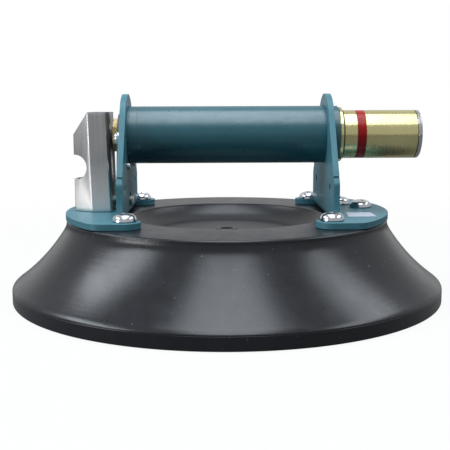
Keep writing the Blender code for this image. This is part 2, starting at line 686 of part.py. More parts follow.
def build_brackets():
    build_bracket("right_bracket", 1, plate_holes(1))
    middle = -(PLATE_INNER + PLATE_OUTER) / 2
    length = SHEET_THICKNESS + 2 * CUT_MARGIN
    holes = plate_holes(-1)
    holes.append(("Z", (PORT_X, 0.0, (FOOT_LOW + FOOT_TOP) / 2), FITTING_SHANK_RADIUS + FIT_GAP, length))
    for edge in (-1, 1):
        low_place = (middle, edge * VALVE_SCREW_SPREAD, AXIS_HEIGHT - VALVE_SCREW_DROP)
        holes.append(("X", low_place, VALVE_SCREW_RADIUS + FIT_GAP, length))
        high_place = (middle, edge * PLATE_SCREW_SPREAD, AXIS_HEIGHT - PLATE_SCREW_DROP)
        holes.append(("X", high_place, PLATE_SCREW_SHANK_RADIUS + FIT_GAP, length))
    left = build_bracket("left_bracket", -1, holes)
    low = FOOT_TOP + SLOT_RISE
    half = SLOT_WIDTH / 2
    corners = [(-half, low), (half, low), (half, low + SLOT_HEIGHT), (-half, low + SLOT_HEIGHT)]
    slot = rounded(corners, SLOT_ROUNDING, 2)
    slot_mesh = prism("hinge_slot", slot, "X", middle - length / 2, middle + length / 2)
    combine(left, add_cutter("hinge_slot", slot_mesh), "DIFFERENCE")


def build_pump(axis, slide):
    """Tube, barrel, head, valve flap and spring, and the plunger that slides in them."""
    bore = TUBE_RADIUS - TUBE_WALL
    add_piece("handle_tube", turned("handle_tube", ring(bore, TUBE_RADIUS, -PLATE_OUTER, TUBE_RIGHT)),
              TEAL_PAINT, axis)
    build_barrel(axis)
    build_pump_head(axis)
    coil("return_spring", PUMP_HEAD_FACE + FIT_GAP, PISTON_FACE - FIT_GAP, RETURN_SPRING_RADIUS,
         RETURN_SPRING_WIRE, RETURN_SPRING_TURNS, SPRING_STEEL, axis)
    build_piston(slide)
    build_plunger(slide)


def build_barrel(axis):
    wiper_seat = FLANGE_FACE - WIPER_WIDTH - FIT_GAP
    profile = [
        (BARREL_BORE, PUMP_HEAD_STEP + FIT_GAP),
        (BARREL_RADIUS, PUMP_HEAD_STEP + FIT_GAP),
        (BARREL_RADIUS, TUBE_RIGHT + FIT_GAP),
        (BARREL_FLANGE_RADIUS, TUBE_RIGHT + FIT_GAP),
        (BARREL_FLANGE_RADIUS, FLANGE_FACE),
        (WIPER_SEAT_RADIUS, FLANGE_FACE),
        (WIPER_SEAT_RADIUS, TUBE_RIGHT + 2 * FIT_GAP),
        (BARREL_BORE + FIT_GAP, wiper_seat),
        (BARREL_BORE, wiper_seat),
    ]
    add_piece("pump_barrel", turned("pump_barrel", profile), BRASS, axis)
    wiper = ring(PLUNGER_RADIUS + FIT_GAP, WIPER_SEAT_RADIUS - FIT_GAP, TUBE_RIGHT + 3 * FIT_GAP,
                 FLANGE_FACE - FIT_GAP)
    add_piece("wiper_ring", turned("wiper_ring", wiper), BLACK_RUBBER, axis)


def build_pump_head(axis):
    boss = PLUNGER_RADIUS
    groove = boss - HEAD_SEAL_DEPTH
    middle = (PUMP_HEAD_STEP + PUMP_HEAD_FACE) / 2
    half = HEAD_SEAL_WIDTH / 2
    profile = [
        (PUMP_NECK_BORE_RADIUS, NECK_END),
        (PUMP_NECK_RADIUS, NECK_END),
        (PUMP_NECK_RADIUS, -PLATE_OUTER),
        (BARREL_RADIUS, -PLATE_OUTER),
        (BARREL_RADIUS, PUMP_HEAD_STEP),
        (boss, PUMP_HEAD_STEP),
        (boss, middle - half),
        (groove, middle - half),
        (groove, middle + half),
        (boss, middle + half),
        (boss, PUMP_HEAD_FACE),
        (CHECK_VALVE_STEM_RADIUS + FIT_GAP, PUMP_HEAD_FACE),
        (CHECK_VALVE_STEM_RADIUS + FIT_GAP, PUMP_HEAD_FACE - PUMP_HEAD_WEB),
        (PUMP_NECK_BORE_RADIUS, PUMP_HEAD_FACE - PUMP_HEAD_WEB),
    ]
    head = add_piece("pump_head", turned("pump_head", profile), BRASS, axis)
    ports = []
    length = PUMP_HEAD_WEB + 2 * CUT_MARGIN
    for index in range(AIR_PORT_COUNT):
        angle = 2 * math.pi * index / AIR_PORT_COUNT
        deep = AIR_PORT_CIRCLE * math.cos(angle)
        high = AIR_PORT_CIRCLE * math.sin(angle)
        ports.append(("X", (PUMP_HEAD_FACE - PUMP_HEAD_WEB / 2, deep, high), AIR_PORT_RADIUS, length))
    combine(head, add_cutter("head_air_ports", rods("head_air_ports", ports, 8), axis), "DIFFERENCE")
    seal = ring(groove + FIT_GAP, boss, middle - half + FIT_GAP, middle + half - FIT_GAP)
    add_piece("head_seal", turned("head_seal", seal), BLACK_RUBBER, axis)
    stem_end = PUMP_HEAD_FACE - CHECK_VALVE_STEM_LENGTH
    flap_face = PUMP_HEAD_FACE + FIT_GAP
    barb_end = PUMP_HEAD_FACE - PUMP_HEAD_WEB - FIT_GAP
    flap = [
        (0.0, stem_end),
        (CHECK_VALVE_STEM_RADIUS, stem_end),
        (CHECK_VALVE_BARB_RADIUS, barb_end),
        (CHECK_VALVE_STEM_RADIUS, barb_end),
        (CHECK_VALVE_STEM_RADIUS, flap_face),
        (CHECK_VALVE_RADIUS, flap_face),
        (CHECK_VALVE_RADIUS, flap_face + CHECK_VALVE_THICKNESS / 2),
        (CHECK_VALVE_RADIUS / 2, flap_face + CHECK_VALVE_THICKNESS),
        (0.0, flap_face + CHECK_VALVE_THICKNESS),
    ]
    add_piece("check_valve", turned("check_valve", flap, SMALL_FACETS), BLACK_RUBBER, axis)


def build_piston(slide):
    body = PLUNGER_RADIUS - FIT_GAP
    groove = body - PISTON_SEAL_DEPTH
    middle = PISTON_FACE + PISTON_LENGTH / 2
    half = PISTON_SEAL_WIDTH / 2
    back = PISTON_FACE + PISTON_LENGTH
    profile = [
        (0.0, PISTON_FACE + PISTON_LENGTH / 4),
        (PISTON_CUP_RADIUS, PISTON_FACE + PISTON_LENGTH / 4),
        (PISTON_CUP_RADIUS, PISTON_FACE),
        (body, PISTON_FACE),
        (body, middle - half),
        (groove, middle - half),
        (groove, middle + half),
        (body, middle + half),
        (body, back),
        (PLUNGER_BORE - FIT_GAP, back),
        (PLUNGER_BORE - FIT_GAP, back + PISTON_SPIGOT),
        (0.0, back + PISTON_SPIGOT),
    ]
    add_piece("piston", turned("piston", profile), BRASS, slide)
    seal = ring(groove + FIT_GAP, PLUNGER_RADIUS, middle - half + FIT_GAP, middle + half - FIT_GAP)
    add_piece("piston_seal", turned("piston_seal", seal), BLACK_RUBBER, slide)


def build_plunger(slide):
    groove = PLUNGER_RADIUS - PLUNGER_GROOVE_DEPTH
    band_end = RED_BAND_START + RED_BAND_WIDTH
    tube_end = END_CAP_FACE - FIT_GAP
    profile = [
        (PLUNGER_BORE, PLUNGER_START),
        (PLUNGER_RADIUS, PLUNGER_START),
        (PLUNGER_RADIUS, RED_BAND_START),
        (groove, RED_BAND_START),
        (groove, band_end),
        (PLUNGER_RADIUS, band_end),
        (PLUNGER_RADIUS, tube_end),
        (PLUNGER_BORE, tube_end),
    ]
    add_piece("plunger_tube", turned("plunger_tube", profile), BRASS, slide)
    band = ring(groove + FIT_GAP, PLUNGER_RADIUS, RED_BAND_START + FIT_GAP / 2, band_end - FIT_GAP / 2)
    add_piece("red_line_band", turned("red_line_band", band), RED_LINE, slide)
    cap_centre = (PLUNGER_RADIUS - END_CAP_ROUNDING, PLUNGER_END - END_CAP_ROUNDING)
    cap = [(0.0, tube_end - END_CAP_SPIGOT)]
    cap.append((PLUNGER_BORE - FIT_GAP, tube_end - END_CAP_SPIGOT))
    cap.append((PLUNGER_BORE - FIT_GAP, END_CAP_FACE))
    cap.append((PLUNGER_RADIUS, END_CAP_FACE))
    cap.extend(arc(cap_centre, END_CAP_ROUNDING, 0, 90, 3))
    cap.append((0.0, PLUNGER_END))
    add_piece("plunger_end_cap", turned("plunger_end_cap", cap), STAINLESS, slide)


def build_valve(axis, stem_slide):
    """Plate, nut and body outside the left bracket, with the spring-loaded stem."""
    build_valve_plate(axis)
    build_plate_screws(axis)
    build_valve_nut(axis)
    build_valve_body(axis)
    coil("valve_spring", STEM_COLLAR_FACE + FIT_GAP, VALVE_BODY_END - FIT_GAP, VALVE_SPRING_RADIUS,
         VALVE_SPRING_WIRE, VALVE_SPRING_TURNS, SPRING_STEEL, axis)
    build_stem(stem_slide)


def build_valve_plate(axis):
    """Plate behind the nut, with the two countersunk screws that hold it."""
    feet = [(edge * VALVE_SCREW_SPREAD, -VALVE_SCREW_DROP, VALVE_PLATE_FOOT_RADIUS) for edge in (-1, 1)]
    outline = hull_of_circles([(0.0, 0.0, VALVE_PLATE_HEAD_RADIUS)] + feet)
    back = -PLATE_OUTER - FIT_GAP
    sheet = prism("valve_plate", outline, "X", VALVE_PLATE_FACE, back)
    plate = add_piece("valve_plate", sheet, DARK_GREY, axis)
    middle = (VALVE_PLATE_FACE + back) / 2
    length = VALVE_PLATE_THICKNESS + 2 * CUT_MARGIN
    holes = [("X", (middle, 0.0, 0.0), PUMP_NECK_RADIUS + FIT_GAP, length)]
    combine(plate, add_cutter("valve_plate_bore", rods("valve_plate_bore", holes), axis), "DIFFERENCE")
    sink = VALVE_SCREW_HEAD_RADIUS - VALVE_SCREW_RADIUS
    tip = -PLATE_INNER + VALVE_SCREW_POINT
    screw = [
        (0.0, VALVE_PLATE_FACE),
        (VALVE_SCREW_HEAD_RADIUS, VALVE_PLATE_FACE),
        (VALVE_SCREW_RADIUS, VALVE_PLATE_FACE + sink),
        (VALVE_SCREW_RADIUS, tip - FIT_GAP),
        (VALVE_SCREW_RADIUS - FIT_GAP, tip),
        (0.0, tip),
    ]
    cut = [
        (0.0, VALVE_PLATE_FACE - CUT_MARGIN),
        (VALVE_SCREW_HEAD_RADIUS + FIT_GAP + CUT_MARGIN, VALVE_PLATE_FACE - CUT_MARGIN),
        (VALVE_SCREW_RADIUS + FIT_GAP, VALVE_PLATE_FACE + sink),
        (VALVE_SCREW_RADIUS + FIT_GAP, -PLATE_OUTER),
        (0.0, -PLATE_OUTER),
    ]
    for edge, label in ((-1, "front"), (1, "back")):
        place = (0.0, edge * VALVE_SCREW_SPREAD, -VALVE_SCREW_DROP)
        cutter = add_cutter("valve_screw_sink_" + label, turned("valve_screw_sink", cut, SMALL_FACETS), axis)
        cutter.location = place
        combine(plate, cutter, "DIFFERENCE")
        screw_mesh = turned("valve_screw", screw, SMALL_FACETS)
        add_piece("valve_screw_" + label, screw_mesh, BRIGHT_ZINC, axis, place)


def build_plate_screws(axis):
    """Pan head screws on the left plate's outer face, level with the tube."""
    head_low = -SHEET_THICKNESS
    head_top = head_low - PLATE_SCREW_HEAD_HEIGHT
    profile = [
        (0.0, 0.0),
        (PLATE_SCREW_SHANK_RADIUS, 0.0),
        (PLATE_SCREW_SHANK_RADIUS, head_low),
        (PLATE_SCREW_HEAD_RADIUS, head_low),
        (PLATE_SCREW_HEAD_RADIUS, (head_low + head_top) / 2),
        (PLATE_SCREW_HEAD_RADIUS * PLATE_SCREW_CROWN_SHARE, head_top),
        (0.0, head_top),
    ]
    for edge, label in ((-1, "front"), (1, "back")):
        place = (-PLATE_INNER - FIT_GAP, edge * PLATE_SCREW_SPREAD, -PLATE_SCREW_DROP)
        screw_mesh = turned("plate_screw", profile, SMALL_FACETS)
        add_piece("plate_screw_" + label, screw_mesh, BRIGHT_ZINC, axis, place)


def build_valve_nut(axis):
    outline = arc((0.0, 0.0), VALVE_NUT_RADIUS, 30, 330, 5)
    start = VALVE_PLATE_FACE - FIT_GAP
    nut = add_piece("valve_nut", prism("valve_nut", outline, "X", VALVE_NUT_FACE, start), BRASS, axis)
    envelope = [
        (PUMP_NECK_RADIUS + FIT_GAP, VALVE_NUT_FACE),
        (VALVE_NUT_RADIUS - VALVE_NUT_CHAMFER, VALVE_NUT_FACE),
        (VALVE_NUT_RADIUS, VALVE_NUT_FACE + VALVE_NUT_CHAMFER / 2),
        (VALVE_NUT_RADIUS + FIT_GAP, start),
        (PUMP_NECK_RADIUS + FIT_GAP, start),
    ]
    combine(nut, add_cutter("valve_nut_turning", turned("valve_nut_turning", envelope), axis), "INTERSECT")


def build_valve_body(axis):
    bore = PUMP_NECK_RADIUS + FIT_GAP
    stem_bore = VALVE_STEM_RADIUS + FIT_GAP
    profile = [
        (stem_bore, VALVE_BODY_END),
        (VALVE_BODY_RADIUS - VALVE_BODY_CHAMFER, VALVE_BODY_END),
        (VALVE_BODY_RADIUS, VALVE_BODY_END + VALVE_BODY_CHAMFER),
        (VALVE_BODY_RADIUS, VALVE_BODY_START),
        (bore, VALVE_BODY_START),
        (bore, VALVE_SEAT),
        (stem_bore, VALVE_SEAT),
    ]
    body = add_piece("valve_body", turned("valve_body", profile), DARK_GREY, axis)
    barb_top = -(bore + VALVE_BODY_RADIUS) / 2
    barb_low = -VALVE_BODY_RADIUS - BARB_LENGTH
    barb_mesh = turned("valve_barb", barb_profile(barb_top, barb_low), SMALL_FACETS, "Z")
    barb = add_cutter("valve_barb", barb_mesh, axis)
    barb.location = (PORT_X, 0.0, 0.0)
    combine(body, barb, "UNION")
    drill_length = BARB_LENGTH + VALVE_BODY_RADIUS
    drill_centre = (PORT_X, 0.0, barb_low + drill_length / 2 - CUT_MARGIN / 2)
    drill = rods("valve_port", [("Z", drill_centre, PORT_RADIUS, drill_length + CUT_MARGIN)])
    combine(body, add_cutter("valve_port", drill, axis), "DIFFERENCE")


def barb_profile(root, tip):
    """Toothed hose tail, from its root to its tip along Z."""
    neck = BARB_RADIUS * BARB_NECK_SHARE
    pitch = (tip - root) * BARB_PITCH_SHARE
    profile = [(0.0, root), (neck, root)]
    for tooth in range(BARB_TEETH):
        crest = tip - pitch * (BARB_TEETH - BARB_TIP_SHARE - tooth)
        profile.append((neck, crest - pitch * BARB_STEP_SHARE))
        profile.append((BARB_RADIUS, crest))
        profile.append((neck, crest + pitch * BARB_SLOPE_SHARE))
    profile.append((neck, tip))
    profile.append((0.0, tip))
    return profile


def build_stem(stem_slide):
    front = STEM_HEAD_BACK + STEM_HEAD_THICKNESS
    collar_back = STEM_COLLAR_FACE - STEM_COLLAR_THICKNESS
    profile = [
        (0.0, front),
        (STEM_HEAD_RADIUS, front),
        (STEM_HEAD_RADIUS, STEM_HEAD_BACK),
        (VALVE_STEM_RADIUS, STEM_HEAD_BACK),
        (VALVE_STEM_RADIUS, STEM_COLLAR_FACE),
        (STEM_COLLAR_RADIUS, STEM_COLLAR_FACE),
        (STEM_COLLAR_RADIUS, collar_back),
        (VALVE_STEM_RADIUS, collar_back),
    ]
    profile.extend(arc((0.0, STEM_END + VALVE_STEM_RADIUS), VALVE_STEM_RADIUS, 0, -90, 3)[:-1])
    profile.append((0.0, STEM_END))
    add_piece("valve_stem", turned("valve_stem", profile, SMALL_FACETS), STAINLESS, stem_slide)
    seal = ring(VALVE_STEM_RADIUS + FIT_GAP, STEM_SEAL_RADIUS, VALVE_SEAT + FIT_GAP, STEM_HEAD_BACK - FIT_GAP)
    add_piece("stem_seal", turned("stem_seal", seal, SMALL_FACETS), BLACK_RUBBER, stem_slide)


def lever_section(height):
    """Sharp outline of the channel at a height: web, slanted faces, flat faces and turned-in lips."""
    share = (height - LEVER_LOW) / (LEVER_TOP - LEVER_LOW)
    right = LEVER_RIGHT_LOW + (LEVER_RIGHT_TOP - LEVER_RIGHT_LOW) * share
    fold = right - LEVER_LIP_FOLD_LOW - (LEVER_LIP_FOLD_TOP - LEVER_LIP_FOLD_LOW) * share
    flat_end = LEVER_WEB + LEVER_CUT_LENGTH + LEVER_FACE_TAPER * (1 - share)
    lip = LEVER_HALF_WIDTH - LEVER_LIP_WIDTH
    return [
        (right, -lip),
        (right, lip),
        (fold, LEVER_HALF_WIDTH),
        (flat_end, LEVER_HALF_WIDTH),
        (LEVER_WEB, LEVER_WEB_HALF_WIDTH),
        (LEVER_WEB, -LEVER_WEB_HALF_WIDTH),
        (flat_end, -LEVER_HALF_WIDTH),
        (fold, -LEVER_HALF_WIDTH),
    ]


def lever_skin(height):
    radii = [0.0] * 2 + [LEVER_LIP_ROUNDING] + [LEVER_BEND_ROUNDING] * 4 + [LEVER_LIP_ROUNDING]
    return rounded(lever_section(height), radii, 3)


def lever_inside(height):
    bend = LEVER_BEND_ROUNDING - LEVER_SHEET
    return rounded(inset(lever_section(height), LEVER_SHEET), [0.0] * 3 + [bend] * 4 + [0.0], 2)


def build_lever(pivot):
    """Folded channel with a closed cut-off corner, finger notch, and a tongue hooked through the plate."""
    to_pivot = Matrix.Translation((-PIVOT_X, 0.0, -PIVOT_HEIGHT))
    cut_low = LEVER_TOP - LEVER_CUT_HEIGHT
    side_view = [
        (LEVER_RIGHT_LOW + CUT_MARGIN, LEVER_LOW),
        (LEVER_RIGHT_TOP + CUT_MARGIN, LEVER_TOP),
        (LEVER_WEB + LEVER_CUT_LENGTH, LEVER_TOP),
        (LEVER_WEB, cut_low),
        (LEVER_WEB, LEVER_LOW),
    ]
    inner_view = inset(side_view, LEVER_SHEET)
    low = LEVER_LOW - CUT_MARGIN
    high = LEVER_TOP + CUT_MARGIN
    inner_view = stretch_open(inner_view, low, high)
    width = LEVER_HALF_WIDTH + CUT_MARGIN
    channel = lofted("release_lever", lever_skin(LEVER_LOW), lever_skin(LEVER_TOP), LEVER_LOW, LEVER_TOP)
    lever = add_piece("release_lever", channel, STAINLESS, pivot)
    lever.data.transform(to_pivot)
    combine(lever, add_cutter("lever_side", prism("lever_side", side_view, "Y", -width, width)), "INTERSECT")
    hollow_mesh = lofted("lever_hollow", lever_inside(low), lever_inside(high), low, high)
    hollow = add_cutter("lever_hollow", hollow_mesh)
    inner_side = add_cutter("lever_inner_side", prism("lever_inner_side", inner_view, "Y", -width, width))
    combine(hollow, inner_side, "INTERSECT")
    combine(lever, hollow, "DIFFERENCE")
    opening = LEVER_HALF_WIDTH - LEVER_LIP_WIDTH
    mouth_x = LEVER_RIGHT_TOP - 2 * LEVER_SHEET
    mouth = [(mouth_x, low), (mouth_x, high), (LEVER_RIGHT_LOW + CUT_MARGIN, high),
             (LEVER_RIGHT_LOW + CUT_MARGIN, low)]
    mouth_mesh = prism("lever_mouth", mouth, "Y", -opening, opening)
    combine(lever, add_cutter("lever_mouth", mouth_mesh), "DIFFERENCE")
    notch_centre = (LEVER_WEB + LEVER_NOTCH_DEPTH - LEVER_NOTCH_RADIUS, 0.0, AXIS_HEIGHT - LEVER_NOTCH_DROP)
    notch = rods("lever_notch", [("Y", notch_centre, LEVER_NOTCH_RADIUS, 2 * width)])
    combine(lever, add_cutter("lever_notch", notch), "DIFFERENCE")
    combine(lever, add_cutter("lever_tongue", tongue_mesh()), "UNION")
    combine(lever, add_cutter("lever_hook", hook_mesh()), "UNION")


def stretch_open(outline, low, high):
    """Inner side view of the channel run past its open top and bottom."""
    right_low, right_top, cut_top, cut_low, web_low = outline
    lean = (right_top[0] - right_low[0]) / (right_top[1] - right_low[1])
    slope = (cut_top[0] - cut_low[0]) / (cut_top[1] - cut_low[1])
    return [
        (right_low[0] + lean * (low - right_low[1]), low),
        (right_top[0] + lean * (high - right_top[1]), high),
        (cut_top[0] + slope * (high - cut_top[1]), high),
        cut_low,
        (web_low[0], low),
    ]


def tongue_edge():
    """Right end of the tongue, past the plate's inner face."""
    return -PLATE_INNER + 2 * FIT_GAP + TONGUE_HOOK_THICKNESS


def tongue_mesh():
    half = SLOT_WIDTH / 2 - TONGUE_SIDE_GAP
    bridge_half = LEVER_HALF_WIDTH - LEVER_LIP_WIDTH + LEVER_SHEET / 3
    share = (TONGUE_LOW - LEVER_LOW) / (LEVER_TOP - LEVER_LOW)
    edge_x = LEVER_RIGHT_LOW + (LEVER_RIGHT_TOP - LEVER_RIGHT_LOW) * share - FIT_GAP
    outline = [
        (edge_x - TONGUE_BRIDGE_WIDTH, -bridge_half),
        (edge_x, -bridge_half),
        (edge_x, -half),
        (tongue_edge(), -half),
        (tongue_edge(), half),
        (edge_x, half),
        (edge_x, bridge_half),
        (edge_x - TONGUE_BRIDGE_WIDTH, bridge_half),
    ]
    return prism("lever_tongue", outline, "Z", TONGUE_LOW, TONGUE_LOW + LEVER_SHEET)


def hook_mesh():
    half = SLOT_WIDTH / 2 - TONGUE_SIDE_GAP
    right = tongue_edge()
    left = right - TONGUE_HOOK_THICKNESS
    top = TONGUE_LOW + LEVER_SHEET / 2
    low = TONGUE_LOW - TONGUE_HOOK_DROP
    return prism("lever_hook", [(left, low), (right, low), (right, top), (left, top)], "Y", -half, half)


def build_air_line():
    """Hose from the valve's tail to the fitting in the foot, and the filter under it."""
    hose = turned("air_hose", ring(HOSE_BORE, HOSE_RADIUS, HOSE_LOW, HOSE_TOP), SMALL_FACETS, "Z")
    add_piece("air_hose", hose, SOFT_HOSE, location=(PORT_X, 0.0, 0.0))
    pocket = filter_pocket_top()
    low = pocket + FIT_GAP
    tail = barb_profile(FITTING_TOP, FITTING_TOP + BARB_LENGTH)
    flange_low = FOOT_TOP + FIT_GAP
    profile = [
        (PORT_RADIUS, low),
        (FITTING_SHANK_RADIUS, low),
        (FITTING_SHANK_RADIUS, flange_low),
        (FITTING_FLANGE_RADIUS, flange_low),
        (FITTING_FLANGE_RADIUS, FITTING_TOP),
    ]
    profile.extend(tail[1:-1])
    profile.append((PORT_RADIUS, FITTING_TOP + BARB_LENGTH))
    fitting = turned("port_fitting", profile, SMALL_FACETS, "Z")
    add_piece("port_fitting", fitting, BRASS, location=(PORT_X, 0.0, 0.0))
    felt_top = pocket - FIT_GAP
    felt_low = felt_top - FILTER_THICKNESS
    felt = [(0.0, felt_low), (FILTER_RADIUS, felt_low), (FILTER_RADIUS, felt_top), (0.0, felt_top)]
    filter_mesh = turned("air_filter", felt, SMALL_FACETS, "Z")
    add_piece("air_filter", filter_mesh, WHITE_FELT, location=(PORT_X, 0.0, 0.0))


def build_lifter():
    clear_scene()
    axis = add_empty("pump_axis", (0.0, 0.0, AXIS_HEIGHT))
    plunger_slide = add_empty("plunger_slide", (0.0, 0.0, AXIS_HEIGHT))
    stem_slide = add_empty("stem_slide", (0.0, 0.0, AXIS_HEIGHT))
    lever_pivot = add_empty("lever_pivot", (PIVOT_X, 0.0, PIVOT_HEIGHT))
    build_pad()
    build_foot_fasteners()
    build_brackets()
    build_pump(axis, plunger_slide)
    build_valve(axis, stem_slide)
    build_lever(lever_pivot)
    build_air_line()


build_lifter()
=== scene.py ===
"""Looks of the hand vacuum lifter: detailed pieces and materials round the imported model.

Units are metres, in the CAD's own frame: the origin is the centre of the pad's base, +Z is up, and
the handle lies along X with the plunger at +X.
"""
import math

import bmesh
import bpy
from mathutils import Matrix, Vector
from mathutils.geometry import convex_hull_2d


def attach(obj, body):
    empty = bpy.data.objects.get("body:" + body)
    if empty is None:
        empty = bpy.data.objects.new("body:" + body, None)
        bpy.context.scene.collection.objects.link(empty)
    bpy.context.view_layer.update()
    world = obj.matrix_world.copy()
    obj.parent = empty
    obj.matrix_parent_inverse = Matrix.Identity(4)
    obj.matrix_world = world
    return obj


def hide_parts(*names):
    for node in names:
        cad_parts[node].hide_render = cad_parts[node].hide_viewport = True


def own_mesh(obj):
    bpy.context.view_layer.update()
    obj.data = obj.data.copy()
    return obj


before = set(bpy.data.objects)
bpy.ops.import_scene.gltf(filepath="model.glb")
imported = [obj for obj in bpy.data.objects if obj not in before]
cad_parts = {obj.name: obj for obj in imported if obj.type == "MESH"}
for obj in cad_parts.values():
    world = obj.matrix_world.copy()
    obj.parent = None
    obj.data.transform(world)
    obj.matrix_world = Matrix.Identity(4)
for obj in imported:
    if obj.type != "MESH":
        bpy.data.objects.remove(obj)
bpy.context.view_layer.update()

GAP = 0.0003
MARGIN = 0.002
SMALL_ROUND = 48
ROUND = 96
FINE_ROUND = 128
PAD_ROUND = 240

# Rubber pad
PAD_RADIUS = 0.127
PAD_HEIGHT = 0.0463
PAD_TOP_RADIUS = 0.0950
LIP_BAND_HEIGHT = 0.0078
LIP_SHOULDER_RISE = 0.0016
LIP_GROOVE = 0.00035
FLARE_ARC_RADIUS = 0.110
FLARE_NECK = (0.0006, 0.0048)
RIM_ROUNDING = 0.0014
BASE_ROUNDING = 0.0008
SEALING_WIDTH = 0.006
CHAMBER_HEIGHT = 0.0255
CHAMBER_FLAT_RADIUS = 0.060
CHAMBER_POWER = 0.75
DISH_RADIUS = 0.0575
DISH_FLOOR_RADIUS = 0.0400
DISH_FLOOR = PAD_HEIGHT - 0.0093
DISH_WALL_ARC = 0.0186
DISH_RIM_ROUNDING = 0.0009
NUB_RADIUS = 0.0063
NUB_BORE_RADIUS = 0.0040
NUB_HEIGHT = 0.0012
NUB_ROUNDING = 0.0004
INSERT_HOLE = (0.0053, 0.0123)

# Brackets
AXIS_HEIGHT = 0.0944
TUBE_AXIS = ("X", (0.0, 0.0, AXIS_HEIGHT))
SHEET = 0.0033
PLATE_INNER = 0.0578
PLATE_OUTER = PLATE_INNER + SHEET
FOOT_LOW = PAD_HEIGHT + GAP
FOOT_TOP = FOOT_LOW + SHEET
BEND_RADIUS = 0.0017
PLATE_HEAD_RADIUS = 0.0240
PLATE_HALF_WIDTH = 0.0455
PLATE_TAPER = math.radians(33.2)
PLATE_CORNER_ROUNDING = 0.004
EDGE_NOTCH_RISE = 0.0257
EDGE_NOTCH_HEIGHT = 0.0010
EDGE_NOTCH_DEPTH = 0.0012
PLATE_HOLE = (0.00255, 0.0295, 0.0190)
FOOT_RIM = PAD_TOP_RADIUS + 0.0004
FOOT_HALF_DEPTH = 0.0628
FOOT_CORNER_ROUNDING = 0.008
FOOT_LAP = 0.0005
EAR_RADIUS = 0.0089
EAR_SHIFT = 0.0016
SLOT = (0.0045, FOOT_TOP + 0.0022, 0.0082, 0.0008)
PAINTED_EDGE = 0.00045

# Screws
EAR_SCREW = (0.05596, 0.05231)
OUTER_SCREW = (0.0818, 0.0050)
INNER_SCREW = (0.0715, 0.0210)
FOOT_SCREW_HEAD = (0.0066, 0.0042)
FOOT_SCREW_SHANK = 0.0030
FOOT_SCREW_LENGTH = 0.0140
FOOT_SCREW_TURNS = (0.5, 0.15, 1.1, 0.8, 0.35, 1.3)
PLATE_SCREW_HEAD = (0.00385, 0.0033)
PLATE_SCREW_SHANK = 0.0020
PLATE_SCREW_PLACE = (0.0203, AXIS_HEIGHT - 0.0012)
VALVE_SCREW_HEAD = 0.0036
VALVE_SCREW_SHANK = 0.0020
VALVE_SCREW_PLACE = (0.0145, AXIS_HEIGHT - 0.0174)
VALVE_SCREW_TIP = -0.0560
EDGES = ((-1, "front"), (1, "back"))

# Tube, barrel and plunger
TUBE_RADIUS = 0.0168
TUBE_BORE = 0.0156
TUBE_RIGHT = 0.0657
TUBE_RIM = 0.0004
RING_LINE = (-0.0525, 0.00008)
BARREL_RADIUS = 0.0153
BARREL_BORE = 0.0145
BARREL_LEFT = -0.0554
FLANGE_RADIUS = 0.0160
FLANGE_FACE = 0.0678
WIPER_SEAT = 0.0024
PLUNGER_RADIUS = 0.0142
PLUNGER_BORE = 0.0128
PLUNGER_START = 0.0186
RED_BAND = (0.0760, 0.0812)
RED_BAND_DEPTH = 0.0006
CAP_FACE = 0.1116
CAP_PLUG = 0.006
CAP_ROUNDING = 0.0008
CAP_DIMPLE = 0.0006
PLUNGER_END = 0.1139

# Release valve and lever
VALVE_PLATE_BACK = -PLATE_OUTER - GAP
VALVE_PLATE_FACE = -0.0636
VALVE_PLATE_HEAD_RADIUS = 0.0125
VALVE_PLATE_FOOT_RADIUS = 0.0046
NECK_RADIUS = 0.0050
NUT_RADIUS = 0.0097
NUT_FACE = -0.0668
NUT_CHAMFER = 0.0008
LEVER_SHEET = 0.0015
LEVER_WEB = -0.0902
LEVER_LOW = 0.0503
LEVER_TOP = 0.1080
LEVER_RIGHT_LOW = -0.0672
LEVER_RIGHT_TOP = -0.0682
LEVER_HALF_WIDTH = 0.0130
LEVER_LIP = 0.0025
LEVER_LIP_FOLD = (0.0010, 0.0022)
LEVER_MOUTH_EASE = 0.0001
LEVER_WEB_HALF = 0.0055
LEVER_BEND = 0.0020
LEVER_CUT = (0.0097, 0.0132)
LEVER_FACE_TAPER = 0.0015
LEVER_NOTCH = (-0.0891, AXIS_HEIGHT - 0.0184, 0.0072)
TONGUE_LOW = 0.0560
TONGUE_HALF = 0.0040
TONGUE_END = -0.0560
TONGUE_BRIDGE = 0.0015
HOOK_THICKNESS = 0.0012
HOOK_DROP = 0.0026

# Air line
PORT_X = -0.0734
HOSE = (0.0029, 0.0039, 0.0532, 0.0841)
FITTING_SHANK = 0.0040
FILTER_POCKET = (0.0070, 0.02775)

# Blank label on the right foot
LABEL_CORNERS = [(0.0689, -0.0198), (0.0832, -0.0207), (0.0833, -0.0377), (0.0673, -0.0384)]
LABEL_THICKNESS = 0.00012

# Springs: ends, then coil radius, wire radius and number of turns
RETURN_SPRING_ENDS = (-0.0494, 0.0100)
RETURN_SPRING = (0.0100, 0.0007, 9)
VALVE_SPRING_ENDS = (-0.0841, -0.0807)
VALVE_SPRING = (0.0024, 0.0003, 3)

# Stage: floor, then the backdrop's half width, place along Y and top
FLOOR_HALF = 4.0
FLOOR_HEIGHT = -0.0001
BACKDROP = (1.4, 1.5, 2.2)

# Camera: turn of the whole view, place, then the camera's own turns, in degrees
CAMERA_SWING = -0.35
CAMERA_PLACE = (-0.00610, -0.48179, 0.11190)
CAMERA_TURNS = (("Z", -0.599), ("X", 81.51), ("Z", -0.19))
CAMERA_LENS = 64.36


# Mesh helpers


def arc(centre, radius, start, end, steps):
    points = []
    for step in range(steps + 1):
        angle = math.radians(start + (end - start) * step / steps)
        points.append((centre[0] + radius * math.cos(angle), centre[1] + radius * math.sin(angle)))
    return points


